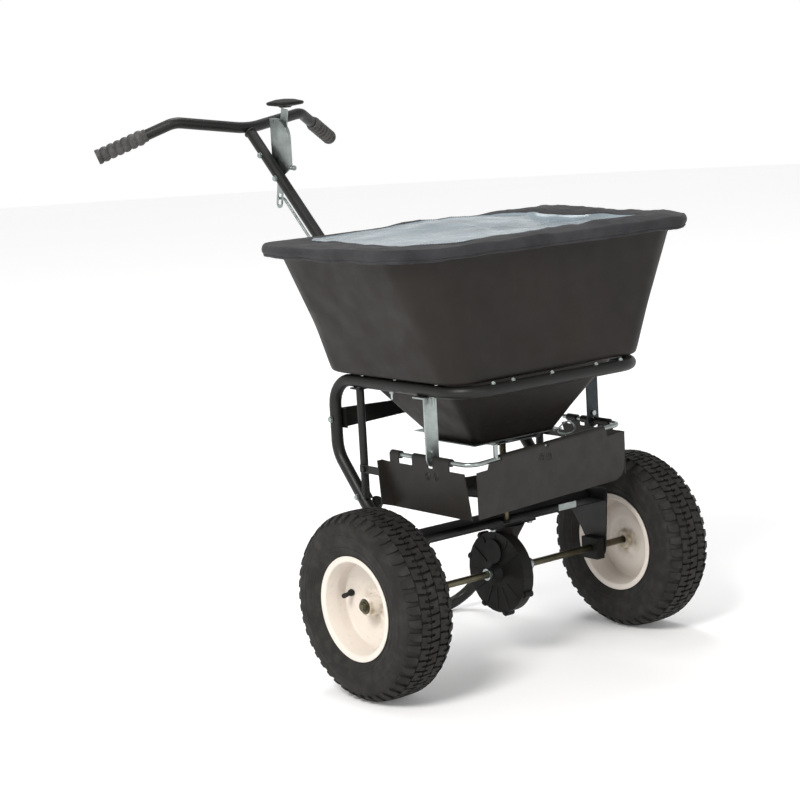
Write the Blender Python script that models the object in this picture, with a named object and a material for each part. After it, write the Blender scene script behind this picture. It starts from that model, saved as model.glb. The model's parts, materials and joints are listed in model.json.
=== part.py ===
"""Walk-behind drop spreader: tub hopper on a bent-tube frame, two pneumatic wheels,
a ground-driven gearbox and spinner, and three deflector panels that keep the throw narrow.

Units are metres, +Z is up, +X is across the machine and +Y runs back to the handle.
Lengths along Y are given from the axle, and AXLE_Y moves the whole machine so that the
origin lies under the middle of its bounding box.
"""
from math import atan2, cos, hypot, pi, radians, sin

import bmesh
import bpy
from mathutils import Matrix, Vector

# ---------------------------------------------------------------- driving dimensions
AXLE_Y = -0.33004            # axle's place once the bounding box is centred
AXLE_Z = 0.165              # axle height, and the tyre's radius
AXLE_RADIUS = 0.00635
TRACK_HALF = 0.3096         # middle of the machine to the middle of a tyre
TYRE_HALF_WIDTH = 0.0525
RIM_LIP_RADIUS = 0.0905
RIM_HALF_WIDTH = 0.0443
HUB_HALF_LENGTH = 0.020

TUBE_RADIUS = 0.011         # main frame, stand and handle tube
TUBE_WALL = 0.0015
LOOP_HALF_WIDTH = 0.211     # tube centre line of the hopper loop
LOOP_FRONT = -0.151
LOOP_REAR = 0.205
LOOP_Z = 0.5255
GAP = 0.0003                # between touching pieces

BRACKET_THICKNESS = 0.003
BRACKET_X = LOOP_HALF_WIDTH + TUBE_RADIUS + 0.0005
BRACE_Y = 0.131
BRACE_RADIUS = 0.007
CROSS_BAR_Z = 0.2535        # underside of the lower cross bar
REAR_BAR_Z = 0.452

OUTLET_Z = 0.412            # underside of the hopper
TUB_FLOOR_Z = LOOP_Z + TUBE_RADIUS + 0.0010
WALL = 0.0035               # hopper wall
RIM_TOP_Z = 0.769
RIM_LIP = 0.010              # height of the turned-out rim

ROD_RADIUS = 0.004          # deflector rod
ROD_Z = 0.406
ROD_LEFT_FRONT = -0.157
ROD_RIGHT_FRONT = -0.085
PANEL_BOTTOM_Z = 0.314
PANEL_SHEET = 0.002
CURL_RADIUS = 0.0058        # middle of the rolled sheet round the rod
HANGER_LEFT_Y = -0.058
HANGER_RIGHT_Y = -0.015

CROWN_TEETH = 32
PINION_TEETH = 8
CROWN_PITCH_RADIUS = 0.0508
MESH_Z = AXLE_Z + CROWN_PITCH_RADIUS
SHAFT_RADIUS = 0.006
SPINNER_RADIUS = 0.105
SPINNER_Z = 0.318

GATE_TOP_Z = 0.4065
GATE_SHEET = 0.002
GATE_OFFSET = 0.0145        # how far the gate's port lies behind the outlet's at rest
PORT_LENGTH = 0.034
ROD_X = 0.031               # control rod's plane

STEM_ANGLE = radians(44.6)
BAR_MIDDLE = Vector((0.0, 0.715, 0.957))
BAR_BEND = Vector((0.154, 0.745, 0.979))
GRIP_LENGTH = 0.106
GRIP_END = Vector((0.2865, 0.825, 0.920))
GRIP_RADIUS = 0.0155
GRIP_RIBS = 6

LEVER_PIVOT = Vector((0.0215, 0.6395, 0.881))
LEVER_TILT = radians(11.0)
LEVER_TOP = 0.114
LEVER_EYE = 0.065           # pivot to the control rod's eye
GAUGE_SHEET = 0.002
GAUGE_FRONT = -0.0386       # from the lever's pivot
KNOB_RADIUS = 0.0375
VALVE_ANGLE = radians(9)    # the valve's place round the wheel
VALVE_LENGTH = 0.024
COVER_SHEET = 0.002


# ---------------------------------------------------------------- materials and objects
def material(name, colour, roughness, metallic=0.0):
    """A Principled material; colour is linear RGB."""
    made = bpy.data.materials.new(name)
    made.use_nodes = True
    shader = made.node_tree.nodes["Principled BSDF"]
    shader.inputs["Base Color"].default_value = (*colour, 1.0)
    shader.inputs["Roughness"].default_value = roughness
    shader.inputs["Metallic"].default_value = metallic
    return made


BLACK_STEEL = ((0.012, 0.011, 0.010), 0.45, 0.0)
BLACK_SHEET = ((0.020, 0.017, 0.015), 0.50, 0.0)
ZINC = ((0.55, 0.57, 0.58), 0.35, 1.0)
AXLE_STEEL = ((0.45, 0.40, 0.27), 0.38, 1.0)
BLACK_PLASTIC = ((0.018, 0.015, 0.013), 0.60, 0.0)
CREAM_PAINT = ((0.76, 0.70, 0.58), 0.40, 0.0)
RUBBER = ((0.018, 0.018, 0.018), 0.80, 0.0)
CLOTH = ((0.050, 0.052, 0.055), 0.90, 0.0)


def finish(name, mesh, look, at=(0, 0, 0), smooth=35):
    """Put a mesh in the scene as the named piece, with its origin at a place given from the axle."""
    mesh.name = name
    mesh.materials.clear()
    mesh.materials.append(material(name, *look))
    mesh.shade_smooth()
    mesh.set_sharp_from_angle(angle=radians(smooth))
    piece = bpy.data.objects.new(name, mesh)
    bpy.context.collection.objects.link(piece)
    piece.location = Vector(at) + Vector((0, AXLE_Y, 0))
    return piece


# ---------------------------------------------------------------- shapes, each a closed mesh
def to_mesh(made):
    """Turn a bmesh into a mesh with its faces pointing out."""
    bmesh.ops.remove_doubles(made, verts=made.verts, dist=1e-6)
    bmesh.ops.recalc_face_normals(made, faces=made.faces)
    mesh = bpy.data.meshes.new("shape")
    made.to_mesh(mesh)
    made.free()
    return mesh


def box(size, middle):
    made = bmesh.new()
    bmesh.ops.create_cube(made, size=1.0, matrix=Matrix.Translation(middle) @ Matrix.Diagonal((*size, 1)))
    return to_mesh(made)


def turn_to(axis):
    """The rotation that takes +Z to an axis."""
    return Vector((0, 0, 1)).rotation_difference(Vector(axis)).to_matrix().to_4x4()


def cylinder(start, end, radius, sides=16, end_radius=None):
    """A solid cylinder or cone between two points."""
    start, end = Vector(start), Vector(end)
    made = bmesh.new()
    place = Matrix.Translation((start + end) / 2) @ turn_to(end - start)
    bmesh.ops.create_cone(made, cap_ends=True, segments=sides, radius1=radius,
                          radius2=radius if end_radius is None else end_radius,
                          depth=(end - start).length, matrix=place)
    return to_mesh(made)


def turned(profile, start, axis, sides, closed=True):
    """Spin a profile of (distance along the axis, radius) round an axis through start."""
    made = bmesh.new()
    verts = [made.verts.new((0.0, -radius, along)) for along, radius in profile]
    edges = [made.edges.new(pair) for pair in zip(verts, verts[1:])]
    if closed:
        edges.append(made.edges.new((verts[-1], verts[0])))
    bmesh.ops.spin(made, geom=verts + edges, cent=(0, 0, 0), axis=(0, 0, 1), angle=2 * pi,
                   steps=sides, use_merge=True)
    made.transform(Matrix.Translation(start) @ turn_to(axis))
    return to_mesh(made)


def plate(outline, thickness, middle, normal, across):
    """An outline of (across, up) points made into a plate whose middle plane is given."""
    normal = Vector(normal).normalized()
    across = Vector(across).normalized()
    up = normal.cross(across)
    frame = Matrix((across, up, normal)).transposed().to_4x4()
    made = bmesh.new()
    verts = [made.verts.new((u, v, -thickness / 2)) for u, v in outline]
    face = made.faces.new(verts)
    top = bmesh.ops.extrude_face_region(made, geom=[face])["geom"]
    moved = [part for part in top if isinstance(part, bmesh.types.BMVert)]
    bmesh.ops.translate(made, verts=moved, vec=(0, 0, thickness))
    made.transform(Matrix.Translation(middle) @ frame)
    return to_mesh(made)


def arc(centre, radius, start, end, steps):
    """Points along an arc, with its angles in degrees."""
    angles = [radians(start + (end - start) * step / steps) for step in range(steps + 1)]
    return [(centre[0] + radius * cos(angle), centre[1] + radius * sin(angle)) for angle in angles]


def strip(centre_line, thickness):
    """The outline of a bent sheet seen on edge, from the points of its centre line."""
    left, right = [], []
    count = len(centre_line)
    for index, (x, y) in enumerate(centre_line):
        before = centre_line[max(index - 1, 0)]
        after = centre_line[min(index + 1, count - 1)]
        run_x, run_y = after[0] - before[0], after[1] - before[1]
        length = hypot(run_x, run_y)
        off_x, off_y = -run_y / length * thickness / 2, run_x / length * thickness / 2
        left.append((x + off_x, y + off_y))
        right.append((x - off_x, y - off_y))
    return left + right[::-1]


def rounded_path(corners, radii, steps=5):
    """A path through corners, each one replaced by an arc of the given radius."""
    corners = [Vector(corner) for corner in corners]
    points = [corners[0]]
    for before, corner, after, radius in zip(corners, corners[1:], corners[2:], radii):
        into, out = (before - corner).normalized(), (after - corner).normalized()
        half = into.angle(out) / 2
        reach = radius / sin(half)
        centre = corner + (into + out).normalized() * reach
        first = corner + into * (radius * cos(half) / sin(half)) - centre
        last = corner + out * (radius * cos(half) / sin(half)) - centre
        sweep = first.angle(last)
        for step in range(steps + 1):
            share = step / steps
            blend = (sin((1 - share) * sweep) * first + sin(share * sweep) * last) / sin(sweep)
            points.append(centre + blend)
    points.append(corners[-1])
    return points


def tube(path, radius, sides=12, wall=None):
    """Sweep a ring along a path. With a wall the tube is hollow and open at both ends."""
    made = bmesh.new()
    radii = [radius] if wall is None else [radius, radius - wall]
    skins = []
    for ring_radius in radii:
        rings = []
        side = None
        for index, point in enumerate(path):
            before = path[max(index - 1, 0)]
            after = path[min(index + 1, len(path) - 1)]
            along = (after - before).normalized()
            if side is None:
                side = along.orthogonal().normalized()
            side = (side - along * side.dot(along)).normalized()
            other = along.cross(side)
            ring = []
            for step in range(sides):
                angle = 2 * pi * step / sides
                ring.append(made.verts.new(point + ring_radius * (cos(angle) * side + sin(angle) * other)))
            rings.append(ring)
        for one, two in zip(rings, rings[1:]):
            for step in range(sides):
                follow = (step + 1) % sides
                made.faces.new((one[step], one[follow], two[follow], two[step]))
        skins.append(rings)
    if wall is None:
        made.faces.new(skins[0][0][::-1])
        made.faces.new(skins[0][-1])
    else:
        for end in (0, -1):
            outer, inner = skins[0][end], skins[1][end]
            for step in range(sides):
                follow = (step + 1) % sides
                made.faces.new((outer[step], outer[follow], inner[follow], inner[step]))
    return to_mesh(made)


def ring(half_width, front, rear, radius, height, steps=4):
    """A rounded rectangle in plan, as a closed ring of points."""
    points = []
    corners = ((half_width - radius, rear - radius, 0), (radius - half_width, rear - radius, 90),
               (radius - half_width, front + radius, 180), (half_width - radius, front + radius, 270))
    for x, y, start in corners:
        points += [(px, py, height) for px, py in arc((x, y), radius, start, start + 90, steps)]
    return points


def loft(rings):
    """Skin a closed series of rings, the last one joined back to the first."""
    made = bmesh.new()
    loops = [[made.verts.new(point) for point in points] for points in rings]
    for one, two in zip(loops, loops[1:] + loops[:1]):
        count = len(one)
        for step in range(count):
            follow = (step + 1) % count
            made.faces.new((one[step], one[follow], two[follow], two[step]))
    return to_mesh(made)


def joined(meshes):
    """Separate solids in one mesh."""
    made = bmesh.new()
    for mesh in meshes:
        made.from_mesh(mesh)
    mesh = bpy.data.meshes.new("group")
    made.to_mesh(mesh)
    made.free()
    return mesh


def boolean(base, others, operation):
    """Join solids into one body, or cut them away from the first."""
    scene = bpy.context.collection.objects
    body = bpy.data.objects.new("body", base)
    scene.link(body)
    tools = []
    for index, other in enumerate(others):
        tool = bpy.data.objects.new("tool", other)
        scene.link(tool)
        tools.append(tool)
        step = body.modifiers.new("step_%d" % index, "BOOLEAN")
        step.operation = operation
        step.solver = "EXACT"
        step.object = tool
    view = bpy.context.evaluated_depsgraph_get()
    result = bpy.data.meshes.new_from_object(body.evaluated_get(view))
    for piece in [body] + tools:
        bpy.data.objects.remove(piece, do_unlink=True)
    return result


def united(first, *others):
    return boolean(first, others, "UNION")


def cut(first, *others):
    return boolean(first, others, "DIFFERENCE")


def mirrored(mesh):
    """The same solid on the other side of the machine."""
    made = bmesh.new()
    made.from_mesh(mesh)
    made.transform(Matrix.Diagonal((-1, 1, 1, 1)))
    return to_mesh(made)


def moved(mesh, matrix):
    made = bmesh.new()
    made.from_mesh(mesh)
    made.transform(matrix)
    return to_mesh(made)


def bolt(head_at, direction, radius=0.0055, height=0.0045, sides=6, tip=0.0):
    """A bolt head standing on a surface, with an optional thread end beyond it."""
    head_at, direction = Vector(head_at), Vector(direction).normalized()
    head = cylinder(head_at, head_at + direction * height, radius, sides)
    if not tip:
        return head
    return united(head, cylinder(head_at + direction * height / 2, head_at + direction * (height + tip),
                                 radius * 0.5, 8))


# ---------------------------------------------------------------- frame
def build_frame():
    """The hopper loop and its two legs, bent from one tube."""
    side = LOOP_HALF_WIDTH
    right = [(side, 0.040, 0.266), (side, 0.120, 0.292), (side, LOOP_REAR, 0.392),
             (side, LOOP_REAR, LOOP_Z), (side, LOOP_FRONT, LOOP_Z)]
    left = [(-x, y, z) for x, y, z in right[::-1]]
    path = rounded_path(right + left, (0.060, 0.060, 0.050, 0.060, 0.060, 0.050, 0.060, 0.060), 3)
    finish("main_frame", tube(path, TUBE_RADIUS, 8, TUBE_WALL), BLACK_STEEL)


def build_rear_bar():
    """Plate between the legs that carries the handle stem; it narrows to the middle."""
    reach = LOOP_HALF_WIDTH - TUBE_RADIUS - 0.0005
    half_end, half_middle = 0.018, 0.013
    outline = [(-reach, -half_end), (-0.060, -half_middle), (0.060, -half_middle), (reach, -half_end),
               (reach, half_end), (0.060, half_middle), (-0.060, half_middle), (-reach, half_end)]
    web = plate(outline, 0.004, (0, LOOP_REAR, REAR_BAR_Z), (0, -1, 0), (1, 0, 0))
    flanges = [box((0.003, 0.026, 2 * half_end), (s * (reach - 0.0015), LOOP_REAR - 0.001, REAR_BAR_Z))
               for s in (-1, 1)]
    finish("rear_cross_bar", united(web, *flanges), BLACK_STEEL)


def build_cross_bar():
    """Angle bar under the hopper that carries the gearbox, with a hole for the vertical shaft."""
    reach = BRACKET_X - 0.0005
    section = [(-0.024, 0.0), (0.024, 0.0), (0.024, 0.016), (0.021, 0.016), (0.021, 0.003), (-0.024, 0.003)]
    bar = plate(section, 2 * reach, (0, 0, CROSS_BAR_Z), (1, 0, 0), (0, 1, 0))
    hole = cylinder((0, 0, CROSS_BAR_Z - 0.01), (0, 0, CROSS_BAR_Z + 0.01), 0.0095)
    finish("lower_cross_bar", cut(bar, hole), BLACK_STEEL)
    tab = box((0.044, 0.0012, 0.012), (0.128, -0.0250, CROSS_BAR_Z + 0.008))
    finish("plain_tab", tab, ZINC)


def build_axle_brackets():
    """Plates that hang from the cross bar's ends and hold the axle bearings."""
    outline = [(-0.030, 0.102), (-0.022, 0.0)] + arc((0, 0), 0.022, 180, 360, 8)[1:]
    outline += [(0.040, 0.030), (0.078, 0.080), (0.078, 0.112), (-0.030, 0.112)]
    for name, s in (("left", -1), ("right", 1)):
        middle = (s * (BRACKET_X + BRACKET_THICKNESS / 2), 0, AXLE_Z)
        blank = plate(outline, BRACKET_THICKNESS, middle, (1, 0, 0), (0, 1, 0))
        bore = cylinder((s * 0.20, 0, AXLE_Z), (s * 0.25, 0, AXLE_Z), 0.0105)
        finish("axle_bracket_" + name, cut(blank, bore), BLACK_STEEL)
        inner = BRACKET_X - 0.020
        block = box((0.0195, 0.040, 0.040), (s * (inner + 0.00975), 0, AXLE_Z))
        sleeve = cylinder((s * (inner + 0.005), 0, AXLE_Z), (s * (BRACKET_X + 0.006), 0, AXLE_Z), 0.0100)
        hole = cylinder((s * 0.18, 0, AXLE_Z), (s * 0.26, 0, AXLE_Z), AXLE_RADIUS + 0.0004)
        finish("axle_bearing_" + name, cut(united(block, sleeve), hole), BLACK_PLASTIC)


def leg_height(y):
    """Height of the leg's centre line over its steep lower run."""
    return 0.292 + (y - 0.120) * (0.392 - 0.292) / (LOOP_REAR - 0.120)


def build_braces():
    """Slim tube on each side from the loop down to the leg, with a foot along the leg."""
    slope = atan2(0.392 - 0.292, LOOP_REAR - 0.120)
    foot_off = TUBE_RADIUS + GAP + 0.002
    foot_y = BRACE_Y
    foot_z = leg_height(BRACE_Y) + foot_off / cos(slope)
    for name, s in (("left", -1), ("right", 1)):
        x = s * LOOP_HALF_WIDTH
        upright = cylinder((x, foot_y, foot_z), (x, foot_y, LOOP_Z - TUBE_RADIUS - 0.0015), BRACE_RADIUS, 12)
        foot = plate([(-0.012, -0.002), (0.012, -0.002), (0.012, 0.002), (-0.012, 0.002)], 0.016,
                     (x, foot_y, foot_z), (1, 0, 0), (0, cos(slope), sin(slope)))
        cap = box((0.020, 0.026, 0.0026), (x, foot_y + 0.003, LOOP_Z - TUBE_RADIUS - GAP - 0.0013))
        low_end, high_end = (x, 0.12, leg_height(0.12)), (x, 0.17, leg_height(0.17))
        leg = cylinder(low_end, high_end, TUBE_RADIUS + GAP, 24)
        finish("brace_" + name, cut(united(upright, foot, cap), leg), BLACK_STEEL)


def build_stand():
    """U-shaped rear stand that meets the ground behind the axle."""
    x = LOOP_HALF_WIDTH - 2 * TUBE_RADIUS - 0.0005
    right = [(x, 0.126, 0.309), (x, 0.340, TUBE_RADIUS)]
    path = rounded_path(right + [(-px, y, z) for px, y, z in right[::-1]], (0.070, 0.070), 4)
    finish("rear_stand", tube(path, TUBE_RADIUS, 10, TUBE_WALL), BLACK_STEEL)


def build_frame_bolts():
    """Hex bolts through each leg: one holds the rear bar, the other the stand."""
    for name, s in (("left", -1), ("right", 1)):
        outside = s * (LOOP_HALF_WIDTH + TUBE_RADIUS + GAP)
        finish("rear_bar_bolt_" + name, bolt((outside, LOOP_REAR, REAR_BAR_Z), (s, 0, 0)), ZINC)
        finish("stand_bolt_" + name, bolt((outside, 0.142, leg_height(0.142)), (s, 0, 0)), ZINC)


def build_hangers():
    """Zinc strips that hang the deflector rod under the loop."""
    top = LOOP_Z - TUBE_RADIUS - GAP
    for name, s, y in (("left", -1, HANGER_LEFT_Y), ("right", 1, HANGER_RIGHT_Y)):
        x = s * LOOP_HALF_WIDTH
        half = 0.014
        low = ROD_Z - top + 0.002
        outline = [(-half, 0.0)] + arc((0, low), half, 180, 360, 8) + [(half, 0.0)]
        leaf = plate(outline, 0.003, (x, y, top), (0, -1, 0), (1, 0, 0))
        foot = box((2 * half, 0.030, 0.003), (x, y + 0.0135, top - 0.0015))
        eye = cylinder((x, y - 0.01, ROD_Z), (x, y + 0.01, ROD_Z), ROD_RADIUS + 0.0005)
        screw_hole = cylinder((x, y - 0.01, ROD_Z + 0.014), (x, y + 0.01, ROD_Z + 0.014), 0.0029, 10)
        finish("rod_hanger_" + name, cut(united(leaf, foot), eye, screw_hole), ZINC)
        finish("hanger_bolt_" + name, hanger_bolt(x, y), ZINC)


def hanger_bolt(x, y):
    """Screw through the strip just above the rod, with its nut behind."""
    z = ROD_Z + 0.014
    middle = cylinder((x, y - 0.004, z), (x, y + 0.012, z), 0.0025, 8)
    head = bolt((x, y - 0.0015 - GAP, z), (0, -1, 0), 0.0050, 0.003, 10)
    nut = bolt((x, y + 0.0015 + GAP, z), (0, 1, 0), 0.0062, 0.005)
    return united(middle, head, nut)


# ---------------------------------------------------------------- deflector
def rod_corners():
    side = LOOP_HALF_WIDTH
    return [Vector((-side, 0.052, ROD_Z)), Vector((-side, ROD_LEFT_FRONT, ROD_Z)),
            Vector((side, ROD_RIGHT_FRONT, ROD_Z)), Vector((side, 0.062, ROD_Z))]


def build_rod():
    path = rounded_path(rod_corners(), (0.022, 0.022), 6)
    corners = rod_corners()
    along = (corners[2] - corners[1]).normalized()
    foot = corners[1] + along * 0.066
    stub = cylinder(foot, foot + Vector((0, 0, 0.026)), ROD_RADIUS, 10)
    finish("deflector_rod", united(tube(path, ROD_RADIUS, 10), stub), ZINC)


def panel(outline, curls, along, at):
    """A sheet that hangs from the rod by rolled curls. Outline and curls run along the rod."""
    along = Vector(along).normalized()
    outward = along.cross(Vector((0, 0, 1)))
    at = Vector(at)
    sheet = plate(outline, PANEL_SHEET, at + outward * CURL_RADIUS, outward, along)
    roll = strip(arc((0, 0), CURL_RADIUS, -100, 180, 14) + [(-CURL_RADIUS, -0.030)], PANEL_SHEET)
    rolls = [plate(roll, end - start, at + along * (start + end) / 2, along, -outward) for start, end in curls]
    return united(sheet, *rolls)


def build_side_panels():
    """Fixed panels on the left and right runs of the rod, each with a turned-out rear edge."""
    low = PANEL_BOTTOM_Z - ROD_Z
    rear_top, rear_low = Vector((0.074, -0.013)), Vector((0.046, low))
    for name, s, front in (("left", -1, ROD_LEFT_FRONT), ("right", 1, ROD_RIGHT_FRONT)):
        left = s < 0
        nose = front - 0.003
        nose_top = front + 0.012 if left else nose
        outline = [(nose, low), tuple(rear_low), tuple(rear_top), (0.054, -0.014), (nose_top, -0.014)]
        hanger = HANGER_LEFT_Y if left else HANGER_RIGHT_Y
        behind_hanger = hanger + (0.048 if left else 0.028)
        front_curl = front + (0.050 if left else 0.026)
        curls = [(0.026, 0.050), (hanger + 0.006, behind_hanger), (front_curl, hanger - 0.006)]
        sheet = panel(outline, curls, (0, 1, 0), (0, 0, 0))
        slope = (rear_top - rear_low).normalized()
        half = (rear_top - rear_low).length / 2
        centre = (rear_top + rear_low) / 2
        edge = [(0.0, -half), (0.026, -half + 0.008), (0.024, -half + 0.018), (0.011, half), (0.0, half)]
        flange = plate(edge, PANEL_SHEET, (CURL_RADIUS - 0.0005, centre.x - 0.001, centre.y),
                       (0, -slope.y, slope.x), (1, 0, 0))
        whole = united(sheet, flange)
        if left:
            whole = mirrored(whole)
        finish("side_panel_" + name, whole, BLACK_SHEET, (s * LOOP_HALF_WIDTH, 0, ROD_Z))


def build_front_panel():
    """Hinged panel on the front run of the rod, a little longer than the run on the right."""
    corners = rod_corners()
    along = (corners[2] - corners[1]).normalized()
    reach = (corners[2] - corners[1]).length
    start, end = 0.006, reach + 0.003
    low = PANEL_BOTTOM_Z - ROD_Z
    notch = reach - 0.052
    outline = [(start, low), (end - 0.030, low - 0.006), (end - 0.014, low), (end - 0.005, low + 0.012),
               (end, -0.014), (notch, -0.014), (notch, -0.002), (start + 0.034, -0.002),
               (start + 0.030, -0.012), (start, -0.012)]
    curls = [(0.075, 0.195), (0.205, notch - 0.004)]
    sheet = panel(outline, curls, along, (0, 0, 0))
    finish("front_panel", sheet, BLACK_SHEET, corners[1])


def build_side_links():
    """Short straps that tie each side panel's rear edge to its brace."""
    for name, s in (("left", -1), ("right", 1)):
        x = s * (LOOP_HALF_WIDTH + BRACE_RADIUS + 0.0015)
        strap = box((0.002, 0.062, 0.014), (x, 0.1015, 0.371))
        head = bolt((x, 0.121, 0.371), (s, 0, 0), 0.006, 0.006)
        finish("panel_strap_" + name, united(strap, head), BLACK_STEEL)


# ---------------------------------------------------------------- hopper
def build_hopper():
    """One moulded shell: tapered outlet, shoulder on the loop, flared tub and rolled rim."""
    def level(half_width, front, rear, radius, height, inset=0.0):
        return ring(half_width - inset, front + inset, rear - inset, max(radius - inset, 0.004), height)

    lip_z = RIM_TOP_Z - RIM_LIP
    outside = [(0.095, -0.040, 0.085, 0.015, OUTLET_Z), (0.186, -0.106, 0.180, 0.040, 0.530),
               (0.193, -0.128, 0.190, 0.045, TUB_FLOOR_Z), (0.2166, -0.136, 0.2116, 0.045, TUB_FLOOR_Z),
               (0.2260, -0.1455, 0.2210, 0.050, TUB_FLOOR_Z + 0.004),
               (0.2290, -0.1480, 0.2240, 0.052, TUB_FLOOR_Z + 0.012),
               (0.2610, -0.1490, 0.2200, 0.056, 0.625), (0.3270, -0.1540, 0.2290, 0.070, lip_z),
               (0.3480, -0.1700, 0.2450, 0.080, lip_z), (0.3490, -0.1710, 0.2460, 0.081, RIM_TOP_Z)]
    inside = [(0.3270, -0.1540, 0.2290, 0.070, RIM_TOP_Z), (0.3270, -0.1540, 0.2290, 0.070, lip_z),
              (0.2610, -0.1490, 0.2200, 0.056, 0.625), (0.2290, -0.1480, 0.2240, 0.052, TUB_FLOOR_Z + 0.012),
              (0.193, -0.128, 0.190, 0.045, TUB_FLOOR_Z + 0.004), (0.095, -0.040, 0.085, 0.015, OUTLET_Z)]
    rings = [level(*size) for size in outside] + [level(*size, inset=WALL) for size in inside]
    finish("hopper", loft(rings), BLACK_PLASTIC, smooth=25)


def build_outlet():
    """Zinc floor of the hopper, with its port and the two rails that guide the gate."""
    top = OUTLET_Z - GAP
    floor = box((0.210, 0.135, 0.002), (0, 0.0225, top - 0.001))
    lip_top = GATE_TOP_Z - GATE_SHEET - GAP
    lip_low = lip_top - 0.0012
    rails = []
    web_top = top - 0.001
    for s in (-1, 1):
        web_z, lip_z = (web_top + lip_low) / 2, (lip_top + lip_low) / 2
        rails.append(box((0.008, 0.130, web_top - lip_low), (s * 0.0500, 0.0225, web_z)))
        rails.append(box((0.012, 0.130, lip_top - lip_low), (s * 0.0480, 0.0225, lip_z)))
    port = box((0.070, PORT_LENGTH, 0.020), (0, 0.025 + PORT_LENGTH / 2, top))
    eye = cylinder((0, 0, top - 0.01), (0, 0, top + 0.01), SHAFT_RADIUS + 0.002)
    finish("outlet_floor", cut(united(floor, *rails), port, eye), ZINC)


def build_gate():
    """Sliding shut-off plate, slotted round the vertical shaft."""
    blank = box((0.090, 0.235, GATE_SHEET), (0, 0.0725, GATE_TOP_Z - GATE_SHEET / 2))
    front, rear, half = -0.023, 0.026, 0.0085
    under, over = GATE_TOP_Z - 0.015, GATE_TOP_Z + 0.015
    ends = [cylinder((0, y, under), (0, y, over), half) for y in (front, rear)]
    slot = united(*ends, box((2 * half, rear - front, over - under), (0, (front + rear) / 2, GATE_TOP_Z)))
    port = box((0.070, PORT_LENGTH, 0.020), (0, 0.025 + GATE_OFFSET + PORT_LENGTH / 2, GATE_TOP_Z))
    finish("gate", cut(blank, slot, port), ZINC)


def build_control_rod():
    """Bent rod from the lever down to the gate; its top end turns in through the lever's slot."""
    eye = LEVER_PIVOT + LEVER_EYE * Vector((0, sin(LEVER_TILT), -cos(LEVER_TILT)))
    radius = 0.003
    low = GATE_TOP_Z + GAP + radius
    corners = [(LEVER_PIVOT.x - 0.005, eye.y, eye.z), (ROD_X, eye.y, eye.z),
               (ROD_X, eye.y - (eye.z - low), low), (ROD_X, 0.125, low)]
    path = rounded_path(corners, (0.0060, 0.030), 5)
    finish("control_rod", tube(path, radius, 8), ZINC)


# ---------------------------------------------------------------- gearbox and drive
def build_gearbox():
    """Round case, split level with the axle, with a neck and flange bolted under the cross bar."""
    left, right = -0.0290, -0.0070
    drum = cylinder((left, 0, AXLE_Z), (right, 0, AXLE_Z), 0.0735, 32)
    lugs = []
    for angle in (15, 55, 205, 258, 302):
        y, z = 0.0740 * cos(radians(angle)), AXLE_Z + 0.0740 * sin(radians(angle))
        lugs.append(cylinder((left + 0.002, y, z), (right - 0.002, y, z), 0.0065, 10))
        lugs.append(cylinder((left - 0.001, y, z), (left + 0.004, y, z), 0.0042, 8))
    neck = cylinder((0, 0, 0.196), (0, 0, CROSS_BAR_Z - GAP), 0.0200, 20)
    flare = cylinder((0, 0, 0.225), (0, 0, CROSS_BAR_Z - 0.004), 0.0200, 20, 0.034)
    flange = box((0.104, 0.044, 0.0045), (0, 0, CROSS_BAR_Z - GAP - 0.00225))
    shoulder = cylinder((left - 0.004, 0.004, 0.203), (right, 0.004, 0.203), 0.022, 20)
    boss = cylinder((left - 0.014, 0, AXLE_Z), (left + 0.002, 0, AXLE_Z), 0.0100, 20, 0.0190)
    far_boss = cylinder((right - 0.002, 0, AXLE_Z), (right + 0.012, 0, AXLE_Z), 0.0190, 20, 0.0100)
    outer = united(drum, neck, flare, flange, shoulder, boss, far_boss, *lugs)
    cavity = cylinder((left + 0.0022, 0, AXLE_Z), (right - 0.0022, 0, AXLE_Z), 0.0660, 32)
    pocket = cylinder((0, 0, 0.199), (0, 0, 0.2265), 0.0165, 20)
    shaft_bore = cylinder((0, 0, 0.22), (0, 0, 0.26), SHAFT_RADIUS + 0.0005, 16)
    axle_bore = cylinder((-0.06, 0, AXLE_Z), (0.06, 0, AXLE_Z), AXLE_RADIUS + 0.0005, 16)
    whole = cut(outer, united(cavity, pocket), shaft_bore, axle_bore)
    half_gap = GAP / 2
    above = box((0.3, 0.3, 0.3), (0, 0, AXLE_Z - 0.15 + half_gap))
    below = box((0.3, 0.3, 0.3), (0, 0, AXLE_Z + 0.15 - half_gap))
    finish("gearbox_upper", cut(whole.copy(), above), BLACK_PLASTIC)
    finish("gearbox_lower", cut(whole, below), BLACK_PLASTIC)


def tooth_ring(count, root, tip, root_share, tip_share, phase):
    """A plain gear outline: straight-sided teeth between two radii."""
    outline = []
    pitch = 360 / count
    for index in range(count):
        middle = phase + index * pitch
        for radius, offset in ((root, -root_share), (tip, -tip_share), (tip, tip_share), (root, root_share)):
            angle = radians(middle + offset * pitch / 2)
            outline.append((radius * cos(angle), radius * sin(angle)))
    return outline


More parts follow.
